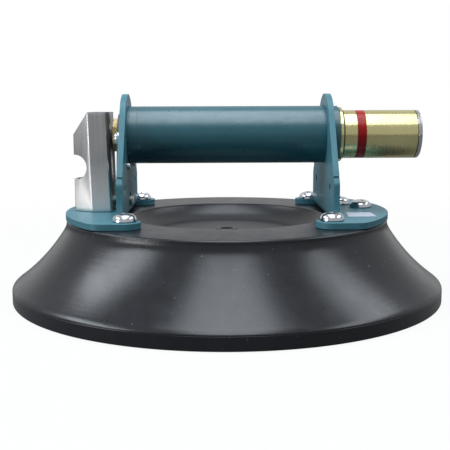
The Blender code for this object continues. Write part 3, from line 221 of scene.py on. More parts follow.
def arc_between(start, end, radius, steps):
    """Arc from start to end that bulges to the left of the way."""
    start = Vector(start)
    end = Vector(end)
    chord = end - start
    side = Vector((chord.y, -chord.x)).normalized()
    centre = (start + end) / 2 + side * math.sqrt(radius**2 - (chord.length / 2) ** 2)
    first = start - centre
    swing = first.angle_signed(end - centre)
    turns = [Matrix.Rotation(-swing * step / steps, 2) for step in range(steps + 1)]
    return [tuple(centre + turn @ first) for turn in turns]


def bezier(points, steps):
    """Smooth curve from the first of four points to the last, led by the two between them."""
    curve = []
    for step in range(steps + 1):
        share = step / steps
        rest = 1 - share
        weights = (rest**3, 3 * rest**2 * share, 3 * rest * share**2, share**3)
        spot = sum((point * weight for point, weight in zip(points, weights)), Vector((0.0, 0.0)))
        curve.append(tuple(spot))
    return curve


def rounded(outline, radius, steps=8):
    """Outline whose corners become arcs of one radius, or of a radius each."""
    count = len(outline)
    radii = radius if isinstance(radius, (list, tuple)) else [radius] * count
    points = []
    for index in range(count):
        corner = Vector(outline[index])
        if radii[index] == 0.0:
            points.append(tuple(corner))
            continue
        back = (Vector(outline[index - 1]) - corner).normalized()
        ahead = (Vector(outline[(index + 1) % count]) - corner).normalized()
        half = back.angle(ahead) / 2
        middle = corner + (back + ahead).normalized() * radii[index] / math.sin(half)
        first = corner + back * radii[index] / math.tan(half) - middle
        last = corner + ahead * radii[index] / math.tan(half) - middle
        swing = first.angle_signed(last)
        for step in range(steps + 1):
            points.append(tuple(middle + Matrix.Rotation(-swing * step / steps, 2) @ first))
    return points


def inset(outline, distance):
    """Counter-clockwise convex outline moved inwards by a sheet's thickness."""
    count = len(outline)
    points = []
    for index in range(count):
        corner = Vector(outline[index])
        before = (corner - Vector(outline[index - 1])).normalized()
        after = (Vector(outline[(index + 1) % count]) - corner).normalized()
        inward = Vector((-before.y, before.x)) + Vector((-after.y, after.x))
        points.append(tuple(corner + inward * distance / (1 + before.dot(after))))
    return points


def rectangle(left, right, low, high):
    return [(left, low), (right, low), (right, high), (left, high)]


def new_object(name, bm):
    bmesh.ops.recalc_face_normals(bm, faces=bm.faces)
    mesh = bpy.data.meshes.new(name)
    bm.to_mesh(mesh)
    bm.free()
    thing = bpy.data.objects.new(name, mesh)
    bpy.context.scene.collection.objects.link(thing)
    return thing


def turned(name, profile, facets=ROUND, axis="X", centre=(0.0, 0.0, 0.0)):
    """Solid of revolution from (radius, distance along the axis) points."""
    bm = bmesh.new()
    on_axis = profile[0][0] == 0.0 and profile[-1][0] == 0.0
    rings = []
    for radius, along in profile:
        if radius == 0.0:
            rings.append([bm.verts.new((0.0, 0.0, along))] * facets)
            continue
        spots = []
        for step in range(facets):
            angle = 2 * math.pi * step / facets
            spots.append(bm.verts.new((radius * math.cos(angle), radius * math.sin(angle), along)))
        rings.append(spots)
    pairs = list(zip(rings[:-1], rings[1:]))
    if not on_axis:
        pairs.append((rings[-1], rings[0]))
    for low, high in pairs:
        for step in range(facets):
            ahead = (step + 1) % facets
            corners = [low[step], low[ahead], high[ahead], high[step]]
            unique = list(dict.fromkeys(corners))
            if len(unique) > 2:
                bm.faces.new(unique)
    if axis == "X":
        bmesh.ops.transform(bm, matrix=Matrix.Rotation(math.pi / 2, 4, "Y"), verts=bm.verts)
    bmesh.ops.translate(bm, vec=Vector(centre), verts=bm.verts)
    return new_object(name, bm)


def prism(name, outline, axis, low, high):
    """Flat outline pushed along an axis. The outline's points are the other two coordinates in order."""
    bm = bmesh.new()
    place = {
        "X": lambda first, second, along: (along, first, second),
        "Y": lambda first, second, along: (first, along, second),
        "Z": lambda first, second, along: (first, second, along),
    }[axis]
    face = bm.faces.new([bm.verts.new(place(first, second, low)) for first, second in outline])
    pushed = bmesh.ops.extrude_face_region(bm, geom=[face])
    corners = [item for item in pushed["geom"] if isinstance(item, bmesh.types.BMVert)]
    bmesh.ops.translate(bm, vec=Vector(place(0.0, 0.0, high - low)), verts=corners)
    return new_object(name, bm)


def lofted(name, section, heights):
    """Solid through the (x, y) outlines that section gives at the heights, from low to high."""
    bm = bmesh.new()
    rings = [[bm.verts.new((x, y, height)) for x, y in section(height)] for height in heights]
    bm.faces.new(rings[0])
    bm.faces.new(rings[-1])
    for lower, upper in zip(rings, rings[1:]):
        for index in range(len(lower)):
            bm.faces.new((lower[index - 1], lower[index], upper[index], upper[index - 1]))
    bmesh.ops.triangulate(bm, faces=[face for face in bm.faces if len(face.verts) == 4])
    return new_object(name, bm)


def rod(name, axis, centre, radius, length, facets=SMALL_ROUND):
    turns = {
        "X": Matrix.Rotation(math.pi / 2, 4, "Y"),
        "Y": Matrix.Rotation(math.pi / 2, 4, "X"),
        "Z": Matrix.Identity(4),
    }
    bm = bmesh.new()
    bmesh.ops.create_cone(
        bm,
        cap_ends=True,
        segments=facets,
        radius1=radius,
        radius2=radius,
        depth=length,
        matrix=Matrix.Translation(centre) @ turns[axis],
    )
    return new_object(name, bm)


def join(name, things):
    """One object from several that don't touch."""
    bm = bmesh.new()
    for thing in things:
        bm.from_mesh(thing.data)
        bpy.data.objects.remove(thing, do_unlink=True)
    return new_object(name, bm)


def cuts(*tools):
    return [("DIFFERENCE", tool) for tool in tools]


def carve(piece, steps, edge=0.0, angle=30, segments=3):
    """Applies Booleans, each (operation, tool), then a bevel on the sharp edges."""
    for operation, tool in steps:
        step = piece.modifiers.new(tool.name, "BOOLEAN")
        step.operation = operation
        step.solver = "EXACT"
        step.object = tool
    if edge:
        bevel = piece.modifiers.new("edge", "BEVEL")
        bevel.width = edge
        bevel.segments = segments
        bevel.limit_method = "ANGLE"
        bevel.angle_limit = math.radians(angle)
        bevel.miter_outer = "MITER_ARC"
    depsgraph = bpy.context.evaluated_depsgraph_get()
    mesh = bpy.data.meshes.new_from_object(piece.evaluated_get(depsgraph))
    piece.modifiers.clear()
    piece.data = mesh
    for _, tool in steps:
        bpy.data.objects.remove(tool, do_unlink=True)
    return piece


def finish(piece, material, node=None, body="lifter", sharp=40, flat_faces=True):
    """Smooth shading, material and body for a piece, and the CAD node that it stands for."""
    piece.data.materials.clear()
    piece.data.materials.append(material)
    piece.data.shade_smooth()
    piece.data.set_sharp_from_angle(angle=math.radians(sharp))
    if flat_faces:
        piece.modifiers.new("face_normals", "WEIGHTED_NORMAL").keep_sharp = True
    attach(piece, body)
    if node:
        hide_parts(node)


# Material helpers


def add_node(tree, kind, sockets=None, output=0, **options):
    """An output of a new shader node, its options set and its sockets given values or links."""
    node = tree.nodes.new("ShaderNode" + kind)
    for option, value in options.items():
        setattr(node, option, value)
    for socket, value in (sockets or {}).items():
        if isinstance(value, bpy.types.NodeSocket):
            tree.links.new(value, node.inputs[socket])
        else:
            node.inputs[socket].default_value = value
    return node.outputs[output]


class Surface:
    """A Principled material and the nodes that vary it."""

    def __init__(self, name, colour, roughness, metallic=0.0):
        self.material = bpy.data.materials.new(name)
        self.material.use_nodes = True
        self.tree = self.material.node_tree
        self.shader = self.tree.nodes["Principled BSDF"]
        self.set(Base_Color=(*colour, 1.0), Roughness=roughness, Metallic=metallic)
        self.place = self.node("TexCoord", output="Object")
        self.last_normal = None

    def node(self, kind, sockets=None, output=0, **options):
        return add_node(self.tree, kind, sockets, output, **options)

    def set(self, **values):
        for socket, value in values.items():
            self.shader.inputs[socket.replace("_", " ")].default_value = value

    def feed(self, socket, output):
        self.tree.links.new(output, self.shader.inputs[socket])

    def noise(self, scale, detail=3.0, stretch=(1.0, 1.0, 1.0)):
        place = self.node("Mapping", {"Vector": self.place, "Scale": stretch})
        sockets = {"Vector": place, "Scale": scale, "Detail": detail, "Roughness": 0.55}
        return self.node("TexNoise", sockets, "Fac")

    def distance(self):
        """Distance from the Z axis."""
        flat = self.node("Mapping", {"Vector": self.place, "Scale": (1.0, 1.0, 0.0)})
        return self.node("VectorMath", {0: flat}, "Value", operation="LENGTH")

    def height(self):
        return self.node("SeparateXYZ", {"Vector": self.place}, "Z")

    def rings(self, spacing):
        """Circles round the Z axis: the distance from it, through a sine."""
        turns = self.math("MULTIPLY", self.distance(), 2 * math.pi / spacing)
        return self.node("Math", {0: turns}, operation="SINE")

    def math(self, operation, first, second):
        return self.node("Math", {0: first, 1: second}, operation=operation)

    def spread(self, factor, low, high, start=0.3, end=0.7):
        """Turns a factor that runs from start to end into a value from low to high."""
        sockets = {"Value": factor, "From Min": start, "From Max": end, "To Min": low, "To Max": high}
        return self.node("MapRange", sockets)

    def blend_colours(self, factor, dark, light, start=0.3, end=0.7):
        """Colour from dark to light, each a colour or a link. A Mix node's colours are sockets 6 and 7."""
        sockets = {0: self.spread(factor, 0.0, 1.0, start, end)}
        for socket, colour in ((6, dark), (7, light)):
            sockets[socket] = (*colour, 1.0) if isinstance(colour, (tuple, list)) else colour
        return self.node("Mix", sockets, 2, data_type="RGBA")

    def colour(self, output):
        self.feed("Base Color", output)

    def roughness(self, factor, low, high):
        self.feed("Roughness", self.spread(factor, low, high))

    def bump(self, height, distance, strength):
        sockets = {"Height": height, "Distance": distance, "Strength": strength}
        if self.last_normal:
            sockets["Normal"] = self.last_normal
        self.last_normal = self.node("Bump", sockets)
        self.feed("Normal", self.last_normal)


# Materials


def pad_rubber():
    rubber = Surface("pad_rubber", (0.008, 0.010, 0.014), 0.24)
    cloud = rubber.noise(28.0, 5.0)
    clean = rubber.blend_colours(cloud, (0.006, 0.008, 0.012), (0.012, 0.014, 0.020))
    # Dust and painted sheen: the dish floor inside about 40 mm is painted far lighter than the rubber round
    # it; lighter specks of dust are laid over all.
    dish_dust_and_sheen = rubber.blend_colours(rubber.distance(), (0.080, 0.087, 0.097), clean, 0.036, 0.043)
    dust_and_sheen = rubber.blend_colours(rubber.noise(420.0, 2.0), dish_dust_and_sheen, (0.10, 0.11, 0.12), 0.71, 0.78)
    rubber.colour(dust_and_sheen)
    duller = rubber.spread(rubber.distance(), 0.36, 0.24, PAD_TOP_RADIUS - 0.002, PAD_TOP_RADIUS + 0.001)
    uneven = rubber.spread(rubber.noise(160.0, 4.0), -0.03, 0.03)
    rubber.feed("Roughness", rubber.math("ADD", duller, uneven))
    rubber.bump(rubber.rings(0.0023), 0.00001, 0.4)
    rubber.bump(rubber.noise(1500.0, 2.0), 0.00006, 0.5)
    rubber.bump(rubber.noise(90.0, 3.0, (0.25, 0.25, 6.0)), 0.00004, 0.35)
    return rubber.material


def plain_rubber(name, colour, roughness):
    rubber = Surface(name, colour, roughness)
    lighter = [channel * 1.5 for channel in colour]
    rubber.colour(rubber.blend_colours(rubber.noise(120.0, 4.0), colour, lighter))
    rubber.roughness(rubber.noise(400.0), roughness - 0.05, roughness + 0.1)
    rubber.bump(rubber.noise(2200.0, 2.0), 0.00004, 0.5)
    return rubber.material


def powder_paint(name, dark, light, roughness, gloss=0.5):
    """Powder coat: fine orange peel, faint clouding and a soft gloss."""
    paint = Surface(name, light, roughness)
    clouds = paint.blend_colours(paint.noise(70.0, 4.0), dark, light)
    paint.colour(paint.blend_colours(paint.noise(1900.0, 1.0), clouds, [c * 1.12 for c in light], 0.55, 0.8))
    paint.roughness(paint.noise(300.0, 3.0), roughness - 0.05, roughness + 0.07)
    paint.bump(paint.noise(1100.0, 2.0), 0.00007, 0.6)
    paint.bump(paint.noise(260.0, 2.0), 0.00008, 0.4)
    paint.set(Specular_IOR_Level=gloss)
    return paint.material


def turned_metal(name, dark, light, low, high, spread=0.0):
    """Machined metal with fine lathe lines round the X axis and a little tarnish."""
    metal = Surface(name, light, low, 1.0)
    stretch = (1.0, 0.02, 0.02)
    metal.colour(metal.blend_colours(metal.noise(55.0, 5.0), dark, light))
    metal.roughness(metal.noise(700.0, 3.0, stretch), low, high)
    metal.bump(metal.noise(2600.0, 2.0, stretch), 0.000004, 0.1)
    metal.feed("Tangent", metal.node("Tangent", direction_type="RADIAL", axis="X"))
    metal.set(Anisotropic=spread, Anisotropic_Rotation=0.25)
    return metal.material


def brushed_steel():
    """Sheet stainless with brushing that runs up and down, and a painted reflection that lightens its lower
    end.
    """
    steel = Surface("brushed_stainless", (0.55, 0.555, 0.565), 0.3, 1.0)
    brush = steel.noise(2400.0, 3.0, (1.0, 1.0, 0.03))
    clouds = steel.noise(45.0, 4.0, (1.0, 1.0, 0.6))
    cloudy = steel.blend_colours(clouds, (0.40, 0.405, 0.41), (0.56, 0.565, 0.57))
    streaks = steel.noise(420.0, 4.0, (1.0, 1.0, 0.05))
    streaked = steel.blend_colours(streaks, (0.36, 0.365, 0.37), cloudy, 0.30, 0.55)
    # Painted reflection: the lower end is painted a lighter steel, from about 80 mm down to 56 mm and below.
    steel.colour(steel.blend_colours(steel.height(), (0.78, 0.78, 0.77), streaked, 0.056, 0.080))
    steel.roughness(brush, 0.34, 0.44)
    steel.bump(brush, 0.00001, 0.25)
    steel.bump(steel.noise(60.0, 2.0), 0.00025, 0.12)
    return steel.material


def bright_metal(name, colour, low, high):
    metal = Surface(name, colour, low, 1.0)
    darker = [channel * 0.8 for channel in colour]
    metal.colour(metal.blend_colours(metal.noise(200.0, 4.0), darker, colour))
    metal.roughness(metal.noise(900.0, 3.0), low, high)
    metal.bump(metal.noise(350.0, 2.0), 0.00004, 0.4)
    return metal.material


def red_lacquer():
    red = Surface("red_lacquer", (0.50, 0.006, 0.008), 0.28)
    red.colour(red.blend_colours(red.noise(300.0, 4.0), (0.42, 0.004, 0.006), (0.55, 0.008, 0.010)))
    red.roughness(red.noise(900.0), 0.22, 0.32)
    red.bump(red.noise(1500.0, 2.0, (0.2, 1.0, 1.0)), 0.00003, 0.4)
    red.set(Specular_IOR_Level=0.35)
    return red.material


def white_vinyl():
    vinyl = Surface("white_vinyl", (0.66, 0.72, 0.86), 0.35)
    vinyl.colour(vinyl.blend_colours(vinyl.noise(90.0, 4.0), (0.60, 0.67, 0.83), (0.70, 0.76, 0.90)))
    vinyl.roughness(vinyl.noise(500.0), 0.28, 0.42)
    vinyl.bump(vinyl.noise(220.0), 0.00006, 0.3)
    return vinyl.material


def white_felt():
    felt = Surface("white_felt", (0.72, 0.71, 0.67), 0.95)
    felt.colour(felt.blend_colours(felt.noise(900.0, 5.0), (0.55, 0.54, 0.50), (0.76, 0.75, 0.71)))
    felt.bump(felt.noise(1700.0, 5.0), 0.0003, 0.9)
    felt.roughness(felt.noise(600.0), 0.85, 1.0)
    return felt.material


PAD_RUBBER = pad_rubber()
SEAL_RUBBER = plain_rubber("seal_rubber", (0.012, 0.012, 0.013), 0.45)
HOSE_RUBBER = plain_rubber("hose_rubber", (0.020, 0.020, 0.022), 0.35)
TEAL = powder_paint("teal_paint", (0.070, 0.228, 0.288), (0.086, 0.266, 0.330), 0.42, 0.35)
# Painted shade: the tube's teal is the brackets' paint made darker; its higher gloss is the tube's own.
SHADED_TUBE_TEAL = powder_paint("tube_teal_painted_shade", (0.010, 0.112, 0.148), (0.015, 0.134, 0.174), 0.32, 0.85)
DARK_PAINT = powder_paint("dark_paint", (0.080, 0.075, 0.090), (0.115, 0.108, 0.125), 0.42)
PLUNGER_BRASS = turned_metal("plunger_brass", (0.69, 0.63, 0.31), (0.76, 0.70, 0.37), 0.25, 0.30, 0.8)
BRASS = turned_metal("brass", (0.60, 0.47, 0.20), (0.72, 0.58, 0.28), 0.24, 0.36)
STEEL = brushed_steel()
POLISHED_STEEL = bright_metal("polished_steel", (0.60, 0.60, 0.62), 0.18, 0.28)
SPRING_STEEL = bright_metal("spring_steel", (0.45, 0.46, 0.48), 0.25, 0.38)
ZINC = bright_metal("bright_zinc", (0.76, 0.80, 0.87), 0.10, 0.20)
RED = red_lacquer()
WHITE = white_vinyl()
FELT = white_felt()


# Pad


def chamber_height(radius, edge):
    if radius <= CHAMBER_FLAT_RADIUS:
        return CHAMBER_HEIGHT
    share = (radius - CHAMBER_FLAT_RADIUS) / (edge - CHAMBER_FLAT_RADIUS)
    return CHAMBER_HEIGHT * max(0.0, 1 - share**2) ** CHAMBER_POWER


def pad_section():
    """Pad section from the middle of the hollow, round the lip and rim, to the middle of the dish."""
    edge = PAD_RADIUS - BASE_ROUNDING - SEALING_WIDTH
    steps = 28
    section = [(0.0, CHAMBER_HEIGHT), (CHAMBER_FLAT_RADIUS / 2, CHAMBER_HEIGHT)]
    for step in range(steps):
        radius = CHAMBER_FLAT_RADIUS + (edge - CHAMBER_FLAT_RADIUS) * math.sin(math.pi / 2 * step / steps)
        section.append((radius, chamber_height(radius, edge)))
    section.append((edge, 0.0))
    section.extend(arc((PAD_RADIUS - BASE_ROUNDING, BASE_ROUNDING), BASE_ROUNDING, 270, 360, 5))
    crease = LIP_BAND_HEIGHT - LIP_GROOVE
    section.append((PAD_RADIUS, crease - LIP_GROOVE))
    section.extend(arc((PAD_RADIUS, crease), LIP_GROOVE, 270, 90, 6)[1:-1])
    section.append((PAD_RADIUS - LIP_GROOVE / 2, LIP_BAND_HEIGHT))
    shoulder = (PAD_RADIUS - LIP_SHOULDER_RISE, LIP_BAND_HEIGHT + LIP_SHOULDER_RISE)
    section.append((PAD_RADIUS - LIP_SHOULDER_RISE * 0.35, LIP_BAND_HEIGHT + LIP_SHOULDER_RISE * 0.42))
    neck_step, neck_drop = FLARE_NECK
    neck = (PAD_TOP_RADIUS + neck_step, PAD_HEIGHT - neck_drop)
    flare = arc_between(shoulder, neck, FLARE_ARC_RADIUS, 48)[:-5]
    section.extend(flare)
    leave = Vector(flare[-1])
    slope = (leave - Vector(flare[-2])).normalized()
    rim_start = Vector((PAD_TOP_RADIUS, PAD_HEIGHT - RIM_ROUNDING))
    reach = (rim_start - leave).length / 3
    turn = (leave, leave + slope * reach, rim_start - Vector((0.0, reach)), rim_start)
    section.extend(bezier(turn, 12)[1:])
    rim_centre = (PAD_TOP_RADIUS - RIM_ROUNDING, PAD_HEIGHT - RIM_ROUNDING)
    section.extend(arc(rim_centre, RIM_ROUNDING, 0, 90, 9)[1:])
    section.append(((PAD_TOP_RADIUS + DISH_RADIUS) / 2, PAD_HEIGHT))
    wall_top = PAD_HEIGHT - DISH_RIM_ROUNDING
    section.extend(arc((DISH_RADIUS + DISH_RIM_ROUNDING, wall_top), DISH_RIM_ROUNDING, 90, 180, 5))
    wall = arc_between((DISH_RADIUS, wall_top), (DISH_FLOOR_RADIUS, DISH_FLOOR), DISH_WALL_ARC, 14)
    section.extend(wall[1:])
    section.append((NUB_RADIUS + NUB_HEIGHT, DISH_FLOOR))
    nub_top = DISH_FLOOR + NUB_HEIGHT - NUB_ROUNDING
    section.extend(arc((NUB_RADIUS - NUB_ROUNDING, nub_top), NUB_ROUNDING, 10, 90, 4))
    section.extend(arc((NUB_BORE_RADIUS + NUB_ROUNDING, nub_top), NUB_ROUNDING, 90, 180, 4))
    section.append((NUB_BORE_RADIUS, DISH_FLOOR + NUB_ROUNDING))
    section.extend([(NUB_BORE_RADIUS - NUB_ROUNDING, DISH_FLOOR), (0.0, DISH_FLOOR)])
    return section


def screw_places():
    across, deep = EAR_SCREW
    return {
        "front_left": (-across, -deep),
        "front_right": (across, -deep),
        "back_left": (-across, deep),
        "back_right": (across, deep),
        "right_outer": OUTER_SCREW,
        "right_inner": INNER_SCREW,
    }


def build_pad():
    pad = turned("suction_pad", pad_section(), PAD_ROUND, "Z")
    hole_radius, hole_depth = INSERT_HOLE
    holes = []
    for label, (across, deep) in screw_places().items():
        holes.append(rod("hole_" + label, "Z", (across, deep, PAD_HEIGHT), hole_radius, 2 * hole_depth, 32))
    length = PAD_HEIGHT + MARGIN
    holes.append(rod("port", "Z", (PORT_X, 0.0, PAD_HEIGHT / 2), FITTING_SHANK + GAP, length, 32))
    pocket_radius, pocket_top = FILTER_POCKET
    pocket = rod("filter_pocket", "Z", (PORT_X, 0.0, pocket_top / 2), pocket_radius, pocket_top)
    carve(pad, cuts(join("pad_holes", holes), pocket))
    finish(pad, PAD_RUBBER, "vacuum_pad")


# Brackets


def plate_outline():
    taper_cos = math.cos(PLATE_TAPER)
    taper_sin = math.sin(PLATE_TAPER)
    corner = AXIS_HEIGHT + (PLATE_HEAD_RADIUS - PLATE_HALF_WIDTH * taper_cos) / taper_sin
    low = PAD_HEIGHT - MARGIN
    taper_degrees = math.degrees(PLATE_TAPER)
    head = arc((0.0, AXIS_HEIGHT), PLATE_HEAD_RADIUS, taper_degrees, 180 - taper_degrees, 40)
    sides = rounded([(PLATE_HALF_WIDTH, low), (PLATE_HALF_WIDTH, corner), head[0]],
                    [0.0, PLATE_CORNER_ROUNDING, 0.0], 6)
    right = sides[:-1]
    left = [(-across, height) for across, height in reversed(right)]
    return right + head + left


def bent_sheet(side):
    outer_bend = BEND_RADIUS + SHEET
    bend = (PLATE_INNER + outer_bend, FOOT_LOW + outer_bend)
    top = AXIS_HEIGHT + PLATE_HEAD_RADIUS + MARGIN
    lap = bend[0] + SHEET
    profile = [(PLATE_INNER, top)]
    profile.extend(arc(bend, outer_bend, 180, 270, 14))
    profile.extend([(lap, FOOT_LOW), (lap, FOOT_TOP)])
    profile.extend(arc(bend, BEND_RADIUS, 270, 180, 10))
    profile.append((PLATE_OUTER, top))
    return [(side * across, height) for across, height in profile]


def foot_outline(side):
    across, deep = EAR_SCREW
    ear = (across, deep + EAR_SHIFT)
    inner_edge = PLATE_INNER + BEND_RADIUS + SHEET + FOOT_LAP
    centre_y = FOOT_HALF_DEPTH - FOOT_CORNER_ROUNDING
    centre_x = math.sqrt((FOOT_RIM - FOOT_CORNER_ROUNDING) ** 2 - centre_y**2)
    rim_angle = math.degrees(math.atan2(centre_y, centre_x))
    half = [(inner_edge, ear[1] - EAR_RADIUS)]
    half.extend(arc(ear, EAR_RADIUS, 270, 90, 28))
    half.extend(arc((centre_x, centre_y), FOOT_CORNER_ROUNDING, 90, rim_angle, 12))
    edge = arc((0.0, 0.0), FOOT_RIM, rim_angle, -rim_angle, 64)[1:-1]
    other_half = [(x, -y) for x, y in reversed(half)]
    return [(side * x, y) for x, y in half + edge + other_half]


def bracket_holes(side):
    middle = side * (PLATE_INNER + PLATE_OUTER) / 2
    foot_middle = (FOOT_LOW + FOOT_TOP) / 2
    length = SHEET + 2 * MARGIN
    holes = [rod("tube_hole", "X", (middle, 0.0, AXIS_HEIGHT), TUBE_RADIUS + GAP, length, ROUND)]
    radius, spread, rise = PLATE_HOLE
    for edge in (-1, 1):
        holes.append(rod("plate_hole", "X", (middle, edge * spread, PAD_HEIGHT + rise), radius, length))
    for across, deep in screw_places().values():
        if across * side > 0:
            holes.append(rod("screw_hole", "Z", (across, deep, foot_middle), FOOT_SCREW_SHANK + GAP, length))
    if side < 0:
        holes.append(rod("port_hole", "Z", (PORT_X, 0.0, foot_middle), FITTING_SHANK + GAP, length))
        threaded = ((VALVE_SCREW_PLACE, VALVE_SCREW_SHANK), (PLATE_SCREW_PLACE, PLATE_SCREW_SHANK))
        for edge in (-1, 1):
            for (spread, height), shank in threaded:
                holes.append(rod("side_hole", "X", (middle, edge * spread, height), shank + GAP, length))
        half, low, tall, corner = SLOT
        slot = rounded(rectangle(-half, half, low, low + tall), corner, 4)
        holes.append(prism("slot", slot, "X", middle - length / 2, middle + length / 2))
    return join("bracket_holes", holes)


def edge_notch_boxes(side):
    height = PAD_HEIGHT + EDGE_NOTCH_RISE
    reach = (PLATE_HEAD_RADIUS + (AXIS_HEIGHT - height) * math.sin(PLATE_TAPER)) / math.cos(PLATE_TAPER)
    reach -= EDGE_NOTCH_DEPTH
    span = sorted((side * (PLATE_INNER - MARGIN), side * (PLATE_OUTER + MARGIN)))
    boxes = []
    for edge in (-1, 1):
        near, far = sorted((edge * reach, edge * (PLATE_HALF_WIDTH + MARGIN)))
        outline = rectangle(near, far, height, height + EDGE_NOTCH_HEIGHT)
        boxes.append(prism("edge_notch", outline, "X", *span))
    return join("edge_notches", boxes)


def build_bracket(name, side, node):
    sheet = prism(name, bent_sheet(side), "Y", -FOOT_HALF_DEPTH, FOOT_HALF_DEPTH)
    span = sorted((side * (PLATE_INNER - MARGIN), side * (PAD_TOP_RADIUS + MARGIN)))
    outline = prism(name + "_outline", plate_outline(), "X", *span)
    foot = prism(name + "_foot", foot_outline(side), "Z", FOOT_LOW, FOOT_TOP)
    steps = [("INTERSECT", outline), ("UNION", foot), *cuts(bracket_holes(side), edge_notch_boxes(side))]
    carve(sheet, steps, PAINTED_EDGE, 40)
    finish(sheet, TEAL, node, sharp=50)


# Screws


def cross_recess(radius, depth, turn):
    """Tapered cross for a driver, pointing down, its mouth at height 0."""
    bm = bmesh.new()
    arm = 0.19 * radius
    for quarter in (0.0, math.pi / 2):
        made = bmesh.ops.create_cube(bm, size=1.0)
        for corner in made["verts"]:
            taper = 1.0 if corner.co.z > 0 else 0.45
            corner.co = (corner.co.x * 2 * radius * 0.62 * taper, corner.co.y * 2 * arm * (0.5 + taper / 2),
                         MARGIN if corner.co.z > 0 else -depth)
        bmesh.ops.transform(bm, matrix=Matrix.Rotation(quarter + turn, 4, "Z"), verts=made["verts"])
    other = bm.copy()
    bmesh.ops.delete(bm, geom=bm.verts[8:], context="VERTS")
    other.verts.ensure_lookup_table()
    bmesh.ops.delete(other, geom=other.verts[:8], context="VERTS")
    return new_object("cross_a", bm), new_object("cross_b", other)


def pan_screw(name, head, shank, length, turn):
    """Pan head screw standing on height 0, with its shank below."""
    radius, height = head
    edge = 0.0003
    section = [(0.0, -length), (shank * 0.8, -length), (shank, -length + shank * 0.3), (shank, 0.0)]
    section.extend([(radius - edge / 2, 0.0), (radius, edge / 2)])
    steps = 10
    for step in range(steps + 1):
        angle = math.pi / 2 * step / steps
        flat = math.cos(angle) ** 0.62
        section.append((radius * flat if step < steps else 0.0, edge + (height - edge) * math.sin(angle)))
    screw = turned(name, section, SMALL_ROUND, "Z")
    cross = cross_recess(radius, height * 0.75, turn)
    for tool in cross:
        tool.location.z = height
    bpy.context.view_layer.update()
    return carve(screw, cuts(*cross), radius * 0.03, 50, 2)


def build_foot_screws():
    for (label, (across, deep)), turn in zip(screw_places().items(), FOOT_SCREW_TURNS):
        name = "foot_pan_screw_" + label
        screw = pan_screw(name, FOOT_SCREW_HEAD, FOOT_SCREW_SHANK, FOOT_SCREW_LENGTH, turn)
        screw.data.transform(Matrix.Translation((across, deep, FOOT_TOP + GAP)))
        finish(screw, ZINC, "foot_screw_" + label)


def lay_screw(screw, node, x, y, z):
    """Lays a screw with its head to the left, and finishes it."""
    screw.data.transform(Matrix.Translation((x, y, z)) @ Matrix.Rotation(-math.pi / 2, 4, "Y"))
    finish(screw, ZINC, node)


def build_plate_screws():
    spread, height = PLATE_SCREW_PLACE
    for edge, label in EDGES:
        turn = 0.4 + edge * 0.2
        screw = pan_screw("plate_pan_screw_" + label, PLATE_SCREW_HEAD, PLATE_SCREW_SHANK, SHEET, turn)
        lay_screw(screw, "plate_screw_" + label, -PLATE_OUTER - GAP, edge * spread, height)


def build_valve_screws():
    """Countersunk screws in the valve plate, with rounded points under the tube."""
    length = VALVE_SCREW_TIP - VALVE_PLATE_FACE
    point = 0.0007
    sink = VALVE_SCREW_HEAD - VALVE_SCREW_SHANK
    spread, height = VALVE_SCREW_PLACE
    for edge, label in EDGES:
        section = [(0.0, -length), (VALVE_SCREW_SHANK * 0.5, -length)]
        section.extend(arc((VALVE_SCREW_SHANK - point, -length + point), point, 290, 360, 4))
        section.extend([(VALVE_SCREW_SHANK, -sink), (VALVE_SCREW_HEAD, -0.0001)])
        section.extend([(VALVE_SCREW_HEAD - 0.0001, 0.0), (0.0, 0.0)])
        screw = turned("valve_flat_screw_" + label, section, 32, "Z")
        cross = cross_recess(VALVE_SCREW_HEAD, 0.0016, 0.3 + edge * 0.4)
        carve(screw, cuts(*cross))
        lay_screw(screw, "valve_screw_" + label, VALVE_PLATE_FACE, edge * spread, height)


# Tube and pump


def build_tube():
    line_x, line_depth = RING_LINE
    section = [(TUBE_BORE, -PLATE_OUTER), (TUBE_RADIUS - TUBE_RIM, -PLATE_OUTER)]
    section.append((TUBE_RADIUS, -PLATE_OUTER + TUBE_RIM))
    for along, depth in ((-0.0005, 0.0), (-0.0002, 0.0), (0.0, line_depth), (0.0002, 0.0), (0.0005, 0.0)):
        section.append((TUBE_RADIUS - depth, line_x + along))
    section.append((TUBE_RADIUS, TUBE_RIGHT - TUBE_RIM))
    section.extend([(TUBE_RADIUS - TUBE_RIM, TUBE_RIGHT), (TUBE_BORE, TUBE_RIGHT)])
    tube = turned("grip_tube", section, ROUND, *TUBE_AXIS)
    finish(tube, SHADED_TUBE_TEAL, "handle_tube", sharp=60)


def build_barrel():
    seat = FLANGE_FACE - WIPER_SEAT
    edge = 0.0002
    rounding = 0.0004
    section = [
        (BARREL_BORE, BARREL_LEFT), (BARREL_RADIUS, BARREL_LEFT), (BARREL_RADIUS, TUBE_RIGHT + GAP),
        (FLANGE_RADIUS - edge, TUBE_RIGHT + GAP), (FLANGE_RADIUS, TUBE_RIGHT + GAP + edge),
    ]
    section.extend(arc((FLANGE_RADIUS - rounding, FLANGE_FACE - rounding), rounding, 0, 90, 6))
    section.extend([
        (BARREL_RADIUS - edge, FLANGE_FACE), (BARREL_RADIUS, FLANGE_FACE - edge),
        (BARREL_RADIUS, TUBE_RIGHT + 2 * GAP), (BARREL_BORE + GAP, seat), (BARREL_BORE, seat),
    ])
    barrel = turned("barrel_and_flange", section, ROUND, *TUBE_AXIS)
    finish(barrel, PLUNGER_BRASS, "pump_barrel")
    wiper = turned("wiper_lip", [
        (PLUNGER_RADIUS + GAP, TUBE_RIGHT + 3 * GAP), (BARREL_RADIUS - GAP, TUBE_RIGHT + 3 * GAP),
        (BARREL_RADIUS - GAP, FLANGE_FACE), (BARREL_RADIUS - 2 * GAP, FLANGE_FACE + GAP),
        (PLUNGER_RADIUS + GAP, FLANGE_FACE + 3 * GAP),
    ], ROUND, *TUBE_AXIS)
    finish(wiper, SEAL_RUBBER, "wiper_ring")


